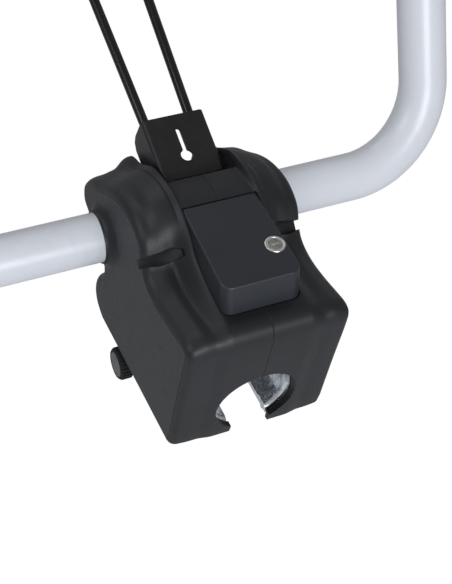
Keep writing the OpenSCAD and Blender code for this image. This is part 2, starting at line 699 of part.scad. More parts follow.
module arm_knob() {
    translate([-cheek_out - seat_gap, 0, 0]) rotate([0, -90, 0]) {
        difference() {
            union() {
                cylinder(r = 10, h = 4, $fn = 48);
                translate([0, 0, 4]) linear_extrude(12) difference() {
                    circle(r = star_r, $fn = 64);
                    for (i = [0:5]) rotate([0, 0, 60 * i])
                        translate([star_r + 5, 0]) circle(r = 9, $fn = 32);
                }
            }
            translate([0, 0, -1]) cylinder(d = arm_pin_d, h = knob_bore + 1, $fn = 48);
        }
    }
}
module arm_knob_right() { color(rubber) from_edge() at_hinge() arm_knob(); }
module arm_knob_left() { color(rubber) from_edge() mirror([1, 0, 0]) at_hinge() arm_knob(); }
module arm_nuts() {
    color(zinc) from_edge() both_sides() at_hinge() translate([cheek_out + 4.3, 0, 0]) difference() {
        along_x(9.5, 8, 6);
        along_x(arm_pin_d / 2 + run_gap, 20);
    }
}
module at_arm() { at_hinge() rotate([arm_rise, 0, 0]) children(); }
module arm() {
    at_arm() difference() {
        union() {
            along_x(arm_hub_r, hub_w, 64);
            rotate([-90, 0, 0]) cylinder(d = arm_d, h = arm_l, $fn = 72);
        }
        along_x(arm_pin_d / 2 + run_gap, far);
        translate([0, arm_hub_r + 4, 0]) rotate([-90, 0, 0])
            cylinder(d = arm_d - 2 * arm_wall, h = arm_l, $fn = 72);
    }
}
module arm_right() { color(silver) from_edge() arm(); }
module arm_left() { color(silver) from_edge() mirror([1, 0, 0]) arm(); }
module arm_cap() {
    at_arm() translate([0, arm_l, 0]) rotate([-90, 0, 0]) {
        cylinder(d1 = arm_d, d2 = arm_d - 4, h = 5, $fn = 72);
        translate([0, 0, -16]) cylinder(d = arm_d - 2 * arm_wall - 0.2, h = 16.5, $fn = 72);
    }
}
module arm_cap_right() { color(rubber) from_edge() arm_cap(); }
module arm_cap_left() { color(rubber) from_edge() mirror([1, 0, 0]) arm_cap(); }

// CRADLES: plastic seats clamped on the arm, each with a rubber strap over a bike's tube
cradle_first = 120;
cradle_wall = 5;
seat_up = arm_d / 2 + cradle_wall + cradle_r;
strap_t = 3;
strap_w = 24;
module each_cradle() {
    for (i = [0:cradle_n - 1]) at_arm() translate([0, cradle_first + i * cradle_pitch, 0]) children();
}
module cradle() {
    difference() {
        yz_plate(-cradle_w / 2, cradle_w / 2) difference() {
            union() {
                polygon([[-24, 4], [-cradle_r - cradle_wall - 1, seat_up - 12],
                    [-cradle_r - cradle_wall, seat_up], [cradle_r + cradle_wall, seat_up],
                    [cradle_r + cradle_wall + 1, seat_up - 12], [24, 4],
                    [20, -arm_d / 2 - cradle_wall], [-20, -arm_d / 2 - cradle_wall]]);
                for (s = [-1, 1]) translate([s * (cradle_r + cradle_wall + 2.5), seat_up - 8])
                    circle(r = 4, $fn = 32);
            }
            translate([0, seat_up]) circle(r = cradle_r, $fn = 72);
        }
        rotate([90, 0, 0]) cylinder(d = arm_d + 0.1, h = far, center = true, $fn = 72);
    }
}
module cradles_right() { color(black) from_edge() each_cradle() cradle(); }
module cradles_left() { color(black) from_edge() mirror([1, 0, 0]) each_cradle() cradle(); }
// The strap arches over the seat and is pulled over a button on either side
module strap() {
    top = seat_up;
    side = cradle_r + cradle_wall + 7;
    difference() {
        yz_plate(-strap_w / 2, strap_w / 2) difference() {
            union() {
                translate([0, top]) circle(r = side + strap_t, $fn = 72);
                translate([-side - strap_t, top - 16]) square([2 * (side + strap_t), 16]);
            }
            translate([0, top]) circle(r = side, $fn = 72);
            translate([-side, top - 60]) square([2 * side, 60]);
            translate([-60, top - 76]) square([120, 60]);
        }
        for (a = [-50:25:50]) translate([0, 0, top]) rotate([-a, 0, 0])
            translate([-4, -1.8, 0]) cube([8, 3.6, 60]);
    }
}
module straps_right() { color(rubber) from_edge() each_cradle() strap(); }
module straps_left() { color(rubber) from_edge() mirror([1, 0, 0]) each_cradle() strap(); }

housing_left();
housing_right();
housing_screws();
lock_cover();
lock_bezel();
lock_barrel();
lock_bolt();
clamp_frame();
ball_socket();
jaw_left();
jaw_right();
jaw_pins();
draw_bar();
link_pin();
lever_bracket();
lever_bail();
lever_grip();
lever_pin();
adjuster_bolt();
adjuster_knob();
adjuster_nut();
tube_bush_left();
tube_bush_right();
frame_tube();
mast_caps();
cross_bar();
arm_hinge_left();
arm_hinge_right();
arm_pin_left();
arm_pin_right();
arm_knob_left();
arm_knob_right();
arm_nuts();
arm_left();
arm_right();
arm_cap_left();
arm_cap_right();
cradles_left();
cradles_right();
straps_left();
straps_right();
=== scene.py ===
"""Studio scene of a rear bike carrier that hangs on a tow ball.

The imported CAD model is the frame. Sizes are in millimetres, measured like the CAD's own from the
middle of the coupling housing's bottom front edge: X across, Y away from the car, Z up. in_row()
turns such a place into metres in the row frame, whose origin is the centre of the tow ball.
"""

import json
import logging
import math
from collections.abc import Iterable
from dataclasses import dataclass, field
from enum import Enum

import bmesh
import bpy
import numpy as np
from mathutils import Matrix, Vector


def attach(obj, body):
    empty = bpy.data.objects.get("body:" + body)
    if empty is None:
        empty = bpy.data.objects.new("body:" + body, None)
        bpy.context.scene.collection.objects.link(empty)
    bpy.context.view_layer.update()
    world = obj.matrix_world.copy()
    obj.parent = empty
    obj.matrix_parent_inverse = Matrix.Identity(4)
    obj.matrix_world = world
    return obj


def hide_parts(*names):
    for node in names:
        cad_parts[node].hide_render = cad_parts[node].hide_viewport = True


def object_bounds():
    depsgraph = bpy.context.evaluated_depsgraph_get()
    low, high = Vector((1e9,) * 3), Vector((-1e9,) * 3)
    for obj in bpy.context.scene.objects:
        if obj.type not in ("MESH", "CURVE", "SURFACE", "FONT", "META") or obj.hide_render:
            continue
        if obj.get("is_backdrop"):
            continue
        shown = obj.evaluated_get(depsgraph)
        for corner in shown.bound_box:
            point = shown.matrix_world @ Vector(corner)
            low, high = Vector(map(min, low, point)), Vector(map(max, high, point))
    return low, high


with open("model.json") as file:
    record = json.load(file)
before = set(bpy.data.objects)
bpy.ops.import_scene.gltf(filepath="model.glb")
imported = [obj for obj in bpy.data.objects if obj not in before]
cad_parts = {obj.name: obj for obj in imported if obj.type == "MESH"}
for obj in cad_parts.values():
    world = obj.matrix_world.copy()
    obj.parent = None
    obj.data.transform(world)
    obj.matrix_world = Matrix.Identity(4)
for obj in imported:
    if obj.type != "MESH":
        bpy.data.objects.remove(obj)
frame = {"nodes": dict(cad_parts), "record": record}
log = logging.getLogger("bike_carrier")

Triple = tuple[float, float, float]
Place = Triple

MM_PER_M = 1000.0
BALL_PLACE = np.array([0.0, 36.0, 27.0])
TUBE_PLACE = np.array([0.0, 133.0, 73.0])
PIVOT_PLACE = np.array([0.0, 125.0, 105.0])
TUBE_R = 17.5
HALF_WIDTH = 57.0
POCKET_HALF = 26.1
BOLT_ROOM_HALF = 3.1
BOLT_ROOM_LOW = 127.7
BOLT_ROOM_HIGH = 130.3
MAST_LEAN = math.radians(25)
LEVER_RISE = math.radians(22)


class Side(Enum):
    """Which half of a mirrored pair a piece belongs to."""

    LEFT = -1
    RIGHT = 1


class Body(Enum):
    """CAD bodies that pieces ride on."""

    HEAD = "head"
    LEVER = "lever"
    LOCK = "lock_barrel"
    ADJUSTER = "adjuster"
    JAW_LEFT = "jaw_left"
    JAW_RIGHT = "jaw_right"
    ARM_LEFT = "arm_left"
    ARM_RIGHT = "arm_right"
    KNOB_LEFT = "arm_clamp_left"
    KNOB_RIGHT = "arm_clamp_right"


# Shapes: every surface is a stack of rings, and each ring is an array of points


def in_row(points: np.ndarray) -> np.ndarray:
    """Places in millimetres from the housing's edge, as metres in the row frame."""
    return (np.asarray(points, float) - BALL_PLACE) / MM_PER_M


def turned(points: np.ndarray, angle: float, place: np.ndarray) -> np.ndarray:
    """Points turned about the X axis and then moved.

    Args:
        points: Array of places whose last axis is x, y, z.
        angle: Turn about X in radians; y' = y cos - z sin and z' = y sin + z cos.
        place: Where the turned origin goes.

    Returns:
        Array of the same form.
    """
    x, y, z = np.moveaxis(np.asarray(points, float), -1, 0)
    c, s = math.cos(angle), math.sin(angle)
    return np.stack([x, y * c - z * s, y * s + z * c], -1) + place


def softened(outline: np.ndarray, rounds: int) -> np.ndarray:
    """Closed outline with its corners cut, which tends to a smooth quadratic curve.

    Args:
        outline: (n, 2) corners.
        rounds: How often each side is replaced by its points at a quarter and three quarters.

    Returns:
        (n * 2 ** rounds, 2) points.
    """
    points = outline
    for _ in range(rounds):
        ahead = np.roll(points, -1, 0)
        pair = [points * 0.75 + ahead * 0.25, points * 0.25 + ahead * 0.75]
        points = np.stack(pair, 1).reshape(-1, 2)
    return points


def inset(outline: np.ndarray, depth: float) -> np.ndarray:
    """A clockwise outline drawn in.

    Args:
        outline: (n, 2) points.
        depth: How far each point moves, square to the chord between its neighbours.

    Returns:
        (n, 2) points.
    """
    chord = (np.roll(outline, -1, 0) - np.roll(outline, 1, 0)).astype(float)
    chord /= np.linalg.norm(chord, axis=1)[:, None]
    return outline + depth * np.stack([chord[:, 1], -chord[:, 0]], 1)


def smooth_step(t: np.ndarray | float) -> np.ndarray | float:
    """Runs from 0 to 1 with level ends: t squared times three less two t."""
    k = np.clip(t, 0, 1)
    return k * k * (3 - 2 * k)


def bell(x: float, middle: float, width: float) -> float:
    """Bell curve of height 1: e to the minus square of (x - middle) / width."""
    return math.exp(-((x - middle) / width) ** 2)


def through(places: np.ndarray, lines: np.ndarray, x: float) -> np.ndarray:
    """A line between given lines, without overshoot.

    Args:
        places: Rising places of the given lines.
        lines: (n, m, 2) lines, one for each place.
        x: Where the new line stands.

    Returns:
        (m, 2) line by the cubic Hermite formula; each slope is the harmonic mean of its
        neighbours' chords, or level where they differ in sign.
    """
    chord = np.diff(lines, axis=0) / np.diff(places)[:, None, None]
    before, after = chord[:-1], chord[1:]
    same = before * after > 0
    slope = np.zeros_like(lines)
    slope[1:-1] = np.where(same, 2 * before * after / np.where(same, before + after, 1), 0)
    i = int(np.clip(np.searchsorted(places, x) - 1, 0, len(places) - 2))
    h = places[i + 1] - places[i]
    t = (x - places[i]) / h
    return ((2 * t ** 3 - 3 * t ** 2 + 1) * lines[i] + (t ** 3 - 2 * t ** 2 + t) * h * slope[i]
            + (3 * t ** 2 - 2 * t ** 3) * lines[i + 1] + (t ** 3 - t ** 2) * h * slope[i + 1])


def rounded_outline(corners: Iterable[Triple], steps: int = 8) -> np.ndarray:
    """Closed polygon whose corners are arcs.

    Args:
        corners: Corner places and the radius of each, in order round the outline.
        steps: Points on each arc.

    Returns:
        (n, 2) points; each arc touches both sides at r / tan(half the corner's angle) from the
        corner.
    """
    data = np.array(list(corners), float)
    places, radii = data[:, :2], np.maximum(data[:, 2], 0.01)
    before = np.roll(places, 1, 0) - places
    after = np.roll(places, -1, 0) - places
    before /= np.linalg.norm(before, axis=1)[:, None]
    after /= np.linalg.norm(after, axis=1)[:, None]
    half = np.arccos(np.clip((before * after).sum(1), -1, 1)) / 2
    middle = before + after
    middle /= np.linalg.norm(middle, axis=1)[:, None]
    centre = places + middle * (radii / np.sin(half))[:, None]
    start = places + before * (radii / np.tan(half))[:, None] - centre
    end = places + after * (radii / np.tan(half))[:, None] - centre
    a = np.arctan2(start[:, 1], start[:, 0])
    sweep = (np.arctan2(end[:, 1], end[:, 0]) - a + math.pi) % (2 * math.pi) - math.pi
    t = np.linspace(0, 1, steps)
    angles = a[:, None] + sweep[:, None] * t
    arcs = radii[:, None, None] * np.stack([np.cos(angles), np.sin(angles)], -1)
    return (centre[:, None] + arcs).reshape(-1, 2)


def lathe(profile: np.ndarray, sides: int = 96) -> np.ndarray:
    """A profile turned about X.

    Args:
        profile: (n, 2) values of x and r.
        sides: Points on each ring.

    Returns:
        (n, sides, 3) rings; each (x, r) gives a circle of radius r in the plane of that x.
    """
    a = np.linspace(0, 2 * math.pi, sides, endpoint=False)
    x, r = np.asarray(profile, float).T
    return np.stack([x[:, None] + 0 * a, r[:, None] * np.cos(a), r[:, None] * np.sin(a)], -1)


def carried(section: np.ndarray, path: np.ndarray, across: np.ndarray) -> np.ndarray:
    """A flat profile carried along a path that lies in a plane.

    Args:
        section: (m, 2) profile; its first axis lies in the path's plane and its second along
            across.
        path: (n, 3) points of the path.
        across: Unit normal of the path's plane.

    Returns:
        (n, m, 3) rings, each square to the path's direction there.
    """
    along = np.gradient(path, axis=0)
    along /= np.linalg.norm(along, axis=1)[:, None]
    side = np.cross(across, along)
    return path[:, None] + side[:, None] * section[None, :, :1] + across * section[None, :, 1:]


def circle(r: float, sides: int = 64) -> np.ndarray:
    """Points of a circle about the origin."""
    a = np.linspace(0, 2 * math.pi, sides, endpoint=False)
    return r * np.stack([np.cos(a), np.sin(a)], -1)


def slab(outline: np.ndarray, x0: float, x1: float, edge: float = 0.0,
         steps: int = 5) -> np.ndarray:
    """A side outline carried across X, with its two rims rounded.

    Args:
        outline: Clockwise (y, z) outline as seen from +X.
        x0: Lower end.
        x1: Upper end.
        edge: Radius of both rims; the outline is drawn in by edge * (1 - cos) as x moves by
            edge * sin.
        steps: Rings on each rim.

    Returns:
        Rings from x0 to x1.
    """
    a = np.linspace(0, math.pi / 2, steps) if edge else np.zeros(1)
    rims = [(x0 + edge * (1 - math.sin(t)), edge * (1 - math.cos(t))) for t in a[::-1]]
    rims += [(x1 - edge * (1 - math.sin(t)), edge * (1 - math.cos(t))) for t in a]
    return np.stack([np.column_stack([np.full(len(outline), x), inset(outline, d)])
                     for x, d in rims])


def block(low: Place, high: Place) -> np.ndarray:
    """Rings of a plain box, for cutting."""
    outline = np.array([[low[1], low[2]], [low[1], high[2]], [high[1], high[2]], [high[1], low[2]]])
    return slab(outline, low[0], high[0])


def bar_x(y: float, z: float, r: float, x0: float, x1: float, sides: int = 96) -> np.ndarray:
    """Rings of a round bar along X, for bores."""
    return lathe(np.array([[x0, r], [x1, r]]), sides) + np.array([0.0, y, z])


def closed_mesh(name: str, rings: np.ndarray) -> bpy.types.Mesh:
    """A mesh of a stack of closed rings with both ends capped, its faces turned outwards.

    Args:
        name: Name of the mesh.
        rings: (rows, columns, 3) places in millimetres.

    Returns:
        The mesh, in metres in the row frame. Its volume by the divergence theorem decides the
        faces' sense.
    """
    rows, columns = rings.shape[:2]
    points = in_row(rings).reshape(-1, 3)
    i, j = np.meshgrid(np.arange(rows - 1), np.arange(columns), indexing="ij")
    here, ahead, k = i * columns, (i + 1) * columns, (j + 1) % columns
    quads = np.stack([here + j, here + k, ahead + k, ahead + j], -1).reshape(-1, 4)
    low = np.arange(columns)[::-1]
    high = np.arange(columns) + (rows - 1) * columns
    a, b, c, d = points[quads].transpose(1, 0, 2)
    volume = (np.cross(b - a, c - a) * a).sum() + (np.cross(c - a, d - a) * a).sum()
    for cap in (low, high):
        first, fan = points[cap[0]], points[cap]
        volume += (np.cross(fan[1:-1] - first, fan[2:] - first) @ first).sum()
    faces = quads.tolist() + [low.tolist(), high.tolist()]
    if volume < 0:
        faces = [face[::-1] for face in faces]
    mesh = bpy.data.meshes.new(name)
    mesh.from_pydata(points.tolist(), [], faces)
    mesh.update()
    return mesh


def linked(name: str, data: bpy.types.ID) -> bpy.types.Object:
    """Makes an object and links it to the scene.

    Args:
        name: Name of the object.
        data: Its mesh, lamp or camera.

    Returns:
        The new object.
    """
    thing = bpy.data.objects.new(name, data)
    bpy.context.scene.collection.objects.link(thing)
    return thing


def solid(name: str, rings: np.ndarray) -> bpy.types.Object:
    """An object of one capped stack of rings."""
    return linked(name, closed_mesh(name, rings))


def baked(thing: bpy.types.Object) -> bpy.types.Object:
    """Puts what the object's modifiers make into its own mesh, and takes them off.

    Args:
        thing: Object with modifiers.

    Returns:
        The same object.
    """
    bpy.context.view_layer.update()
    seen = thing.evaluated_get(bpy.context.evaluated_depsgraph_get())
    mesh = bpy.data.meshes.new_from_object(seen)
    thing.modifiers.clear()
    thing.data = mesh
    return thing


def worked(thing: bpy.types.Object, tools: list[bpy.types.Object],
           operation: str) -> bpy.types.Object:
    """Cuts, joins or intersects an object with others, which are used up.

    Args:
        thing: The closed object that changes.
        tools: The other closed objects.
        operation: DIFFERENCE, UNION or INTERSECT.

    Returns:
        The same object with its new mesh.
    """
    for tool in tools:
        step = thing.modifiers.new(tool.name, "BOOLEAN")
        step.operation, step.solver, step.object = operation, "MANIFOLD", tool
    baked(thing)
    for tool in tools:
        bpy.data.objects.remove(tool)
    return thing


def combined(thing: bpy.types.Object, others: Iterable[np.ndarray],
             operation: str) -> bpy.types.Object:
    """Cuts, joins or intersects an object with stacks of rings."""
    tools = [solid(f"{thing.name}_tool_{i}", rings) for i, rings in enumerate(others)]
    return worked(thing, tools, operation)


def flip(thing: bpy.types.Object, side: Side) -> None:
    """Mirrors a right-hand object in X for the left, and turns its faces back outwards.

    Args:
        thing: The object, drawn for the right.
        side: Side that it is for; the right changes nothing.
    """
    if side is Side.LEFT:
        count = len(thing.data.vertices)
        places = np.zeros(count * 3)
        thing.data.vertices.foreach_get("co", places)
        places[::3] *= -1
        thing.data.vertices.foreach_set("co", places)
        thing.data.flip_normals()
        thing.data.update()


def shaded(thing: bpy.types.Object, crease: float = 35.0,
           bevel_mm: float = 0.0) -> bpy.types.Object:
    """Smooth shading with sharp creases, after an optional narrow bevel of the sharp edges.

    Args:
        thing: Finished form.
        crease: Angle in degrees past which an edge stays sharp.
        bevel_mm: Width of the bevel, or 0 for none.

    Returns:
        The same object.
    """
    if bevel_mm:
        edge = thing.modifiers.new("bevel", "BEVEL")
        edge.width, edge.segments, edge.limit_method = bevel_mm / MM_PER_M, 2, "ANGLE"
        edge.angle_limit = math.radians(crease)
        edge.use_clamp_overlap = True
        baked(thing)
    thing.data.polygons.foreach_set("use_smooth", np.ones(len(thing.data.polygons), bool))
    thing.data.set_sharp_from_angle(angle=math.radians(crease))
    thing.modifiers.new("even_shade", "WEIGHTED_NORMAL").keep_sharp = True
    return baked(thing)


def softened_copy(node: str, bevel_mm: float, crease: float = 32.0) -> bpy.types.Object:
    """A CAD node's copy with merged corners and narrow bevels, as a machined or moulded edge has.

    Args:
        node: CAD node that the copy stands for.
        bevel_mm: Width of the bevels.
        crease: Angle in degrees past which an edge is bevelled.

    Returns:
        The new object, not yet riding on a body.
    """
    work = bmesh.new()
    work.from_mesh(frame["nodes"][node].data)
    bmesh.ops.remove_doubles(work, verts=work.verts, dist=1e-6)
    bmesh.ops.dissolve_limit(work, angle_limit=math.radians(1), verts=work.verts, edges=work.edges)
    mesh = bpy.data.meshes.new(node + "_form")
    work.to_mesh(mesh)
    work.free()
    return shaded(linked(node + "_form", mesh), crease, bevel_mm)


# Finishes


def linear(code: str) -> tuple[float, float, float, float]:
    """A colour for a shader socket.

    Args:
        code: sRGB hex colour, such as #c2c4ca.

    Returns:
        Linear red, green, blue and alpha.
    """
    values = [int(code[i:i + 2], 16) / 255 for i in (1, 3, 5)]
    r, g, b = [v / 12.92 if v <= 0.04045 else ((v + 0.055) / 1.055) ** 2.4 for v in values]
    return r, g, b, 1.0


def per_metre(size_mm: float) -> float:
    """Texture scale that gives a pattern of that size on Object coordinates in metres."""
    return MM_PER_M / size_mm


def cleared(made: bpy.types.Material | bpy.types.World) -> bpy.types.NodeTree:
    """Turns on the nodes of a material or world and takes the default ones out.

    Args:
        made: The new material or world.

    Returns:
        Its empty node tree.
    """
    made.use_nodes = True
    made.node_tree.nodes.clear()
    return made.node_tree


def add_node(tree: bpy.types.NodeTree, kind: str, settings: dict | None = None,
             links: dict | None = None) -> bpy.types.Node:
    """Adds a shader node.

    Args:
        tree: Node tree of the material or world.
        kind: Node type.
        settings: Socket names or node attributes and their values.
        links: Input socket names or numbers and the output sockets that feed them.

    Returns:
        The new node.
    """
    node = tree.nodes.new(kind)
    for key, value in (settings or {}).items():
        if key in node.inputs:
            node.inputs[key].default_value = value
        else:
            setattr(node, key, value)
    for key, source in (links or {}).items():
        tree.links.new(source, node.inputs[key])
    return node


def noise(tree: bpy.types.NodeTree, place: bpy.types.NodeSocket, size_mm: float, detail: float,
          roughness: float = 0.5, distortion: float = 0.0) -> bpy.types.NodeSocket:
    """Adds a noise pattern.

    Args:
        tree: Node tree of the material.
        place: Coordinates in metres.
        size_mm: Size of the pattern's largest patches.
        detail: Number of finer layers.
        roughness: How strong the finer layers are.
        distortion: How far the patches are pulled about.

    Returns:
        The pattern's socket, with values round 0.5.
    """
    settings = {"Scale": per_metre(size_mm), "Detail": detail, "Roughness": roughness,
                "Distortion": distortion}
    return add_node(tree, "ShaderNodeTexNoise", settings, {"Vector": place}).outputs["Fac"]


def spread(tree: bpy.types.NodeTree, source: bpy.types.NodeSocket, span: tuple[float, float],
           result: tuple[float, float]) -> bpy.types.Node:
    """Adds a node that carries one span of values to another in a straight line, clamped."""
    settings = {"From Min": span[0], "From Max": span[1], "To Min": result[0], "To Max": result[1]}
    return add_node(tree, "ShaderNodeMapRange", settings, {"Value": source})


def ramp(tree: bpy.types.NodeTree, source: bpy.types.NodeSocket,
         stops: list[tuple[float, str]]) -> bpy.types.Node:
    """Adds a colour ramp.

    Args:
        tree: Node tree of the material.
        source: Socket whose value picks the colour.
        stops: Places from 0 to 1, each with its hex colour.

    Returns:
        The ramp's node.
    """
    node = add_node(tree, "ShaderNodeValToRGB", links={"Fac": source})
    band = node.color_ramp
    while len(band.elements) < len(stops):
        band.elements.new(0.5)
    for element, (place, code) in zip(band.elements, stops):
        element.position, element.color = place, linear(code)
    return node


@dataclass(frozen=True)
class Finish:
    """One real surface: its colours, gloss, relief and wear."""

    name: str
    dark: str
    light: str
    metallic: float = 0.0
    rough_low: float = 0.4
    rough_high: float = 0.5
    mottle_mm: float = 18.0
    grain_mm: float = 0.6
    grain_depth: float = 0.02
    coat: float = 0.0
    coat_rough: float = 0.1
    specular: float = 0.5
    worn: str = "#242426"
    wear: float = 0.35
    wear_mm: float = 9.0
    wear_rough: float = 0.12
    # Noise values between which colour and gloss run, wear mixes in and wear dulls
    noise_span: tuple[float, float] = (0.3, 0.7)
    wear_span: tuple[float, float] = (0.54, 0.72)
    dull_span: tuple[float, float] = (0.5, 0.75)

    def material(self) -> bpy.types.Material:
        """Builds the material once.

        Returns:
            A material whose colour drifts over mottle_mm, whose bump and gloss have grains of
            grain_mm, and whose worn patches, wear_mm across, are rougher by wear_rough and mix
            in the worn colour by the share wear.
        """
        known = bpy.data.materials.get(self.name)
        if known:
            return known
        made = bpy.data.materials.new(self.name)
        tree = cleared(made)
        place = add_node(tree, "ShaderNodeTexCoord").outputs["Object"]
        drift = noise(tree, place, self.mottle_mm, detail=3.0)
        grain = noise(tree, place, self.grain_mm, detail=2.0, roughness=0.6)
        scuffs = noise(tree, place, self.wear_mm, detail=7.0, roughness=0.72, distortion=0.8)
        clean = ramp(tree, drift, list(zip(self.noise_span, (self.dark, self.light))))
        share = spread(tree, scuffs, self.wear_span, (0.0, self.wear))
        colour = add_node(tree, "ShaderNodeMixRGB", {"Color2": linear(self.worn)},
                          {"Fac": share.outputs["Result"], "Color1": clean.outputs["Color"]})
        dull = spread(tree, scuffs, self.dull_span,
                      (self.rough_high, self.rough_high + self.wear_rough))
        rough = spread(tree, grain, self.noise_span, (self.rough_low, self.rough_high))
        tree.links.new(dull.outputs["Result"], rough.inputs["To Max"])
        relief = add_node(tree, "ShaderNodeBump",
                          {"Strength": 1.0, "Distance": self.grain_depth / MM_PER_M},
                          {"Height": grain})
        shader = add_node(tree, "ShaderNodeBsdfPrincipled",
                          {"Metallic": self.metallic, "Coat Weight": self.coat,
                           "Coat Roughness": self.coat_rough, "Specular IOR Level": self.specular},
                          {"Base Color": colour.outputs["Color"],
                           "Roughness": rough.outputs["Result"],
                           "Normal": relief.outputs["Normal"]})
        add_node(tree, "ShaderNodeOutputMaterial", links={"Surface": shader.outputs["BSDF"]})
        return made


# Glass-filled nylon, injection moulded and spark textured: a dense fine grain that spreads
# highlights wide
MOULDED_NYLON = Finish("moulded_glass_filled_nylon", "#0c0d10", "#121317", rough_low=0.46,
                       rough_high=0.58, mottle_mm=30, grain_mm=0.7, grain_depth=0.025,
                       specular=0.42, worn="#1b1c20")
# ABS cover, moulded with a finer matt texture than the housing
MOULDED_ABS = Finish("moulded_abs_cover", "#1b1e24", "#1f2228", rough_low=0.40, rough_high=0.50,
                     mottle_mm=40, grain_mm=0.5, grain_depth=0.018, specular=0.42, worn="#25282e")
# Pressed steel, dip coated in black: matt, slightly uneven film
DIPPED_STEEL = Finish("dip_coated_steel", "#0f0f10", "#151516", rough_low=0.42, rough_high=0.55,
                      mottle_mm=8, grain_mm=0.9, grain_depth=0.012, specular=0.35,
                      worn="#202022", wear=0.5)
# Bent steel rod in black enamel: smooth and glossy
ENAMELLED_ROD = Finish("enamelled_steel_rod", "#050506", "#0a0a0c", rough_low=0.24,
                       rough_high=0.30, mottle_mm=12, grain_mm=2.5, grain_depth=0.006, coat=0.1,
                       coat_rough=0.15, specular=0.35, worn="#161617")
# Steel tube, powder coated silver grey: a low orange peel under a soft gloss
POWDER_COAT = Finish("powder_coated_silver_tube", "#c2c4ca", "#c7c9cf", rough_low=0.30,
                     rough_high=0.34, mottle_mm=120, grain_mm=2.4, grain_depth=0.003, coat=0.12,
                     coat_rough=0.2, specular=0.35, worn="#b2b4b9", wear=0.3, wear_mm=25)
# Zinc-plated steel, bright passivated: crystalline patches under a clear sheen
ZINC_PLATE = Finish("zinc_plated_steel", "#b0b5bb", "#e2e6ea", metallic=1.0, rough_low=0.20,
                    rough_high=0.36, mottle_mm=3, grain_mm=0.8, grain_depth=0.012, worn="#878c92")
# Nickel-plated lock face: satin, a trace of turning marks
SATIN_NICKEL = Finish("satin_nickel_plate", "#cfcec9", "#dddbd5", metallic=1.0, rough_low=0.30,
                      rough_high=0.40, mottle_mm=3, grain_mm=0.5, grain_depth=0.004,
                      worn="#b9b6ad")
# Moulded rubber with a dull skin, for grips, straps, caps and bushes
MOULDED_RUBBER = Finish("moulded_rubber", "#0f0f10", "#161618", rough_low=0.62, rough_high=0.75,
                        mottle_mm=15, grain_mm=0.8, grain_depth=0.03, specular=0.3,
                        worn="#202021")
# Grey filled nylon of the adjuster knob's face, moulded, slightly worn
KNOB_NYLON = Finish("moulded_grey_nylon_knob", "#4c4c4f", "#5c5c60", rough_low=0.45,
                    rough_high=0.6, mottle_mm=6, grain_mm=0.7, grain_depth=0.03, worn="#6e6e70",
                    wear=0.5)


@dataclass(frozen=True)
class Role:
    """How a new piece belongs to the carrier."""

    body: Body
    slot: str
    finish: Finish
    nodes: tuple[str, ...] = ()


def fitted(thing: bpy.types.Object, role: Role) -> bpy.types.Object:
    """Dresses a finished form and makes it ride on its body.

    Args:
        thing: Finished mesh object.
        role: Its body, material slot, finish and the CAD nodes that it stands for.

    Returns:
        The same object.
    """
    thing.data.materials.clear()
    thing.data.materials.append(role.finish.material())
    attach(thing, role.body.value)
    if role.nodes:
        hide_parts(*role.nodes)
    log.info("%s: %d faces on %s", thing.name, len(thing.data.polygons), role.body.value)
    return thing


def body_with(word: str, side: Side) -> Body:
    """The body of a mirrored pair, such as arm and LEFT."""
    return Body[f"{word.upper()}_{side.name}"]


def mirrored(rings: np.ndarray, side: Side) -> np.ndarray:
    """Rings of the right-hand piece, mirrored in X for the left."""
    return rings * np.array([side.value, 1.0, 1.0])


# Sub-assemblies


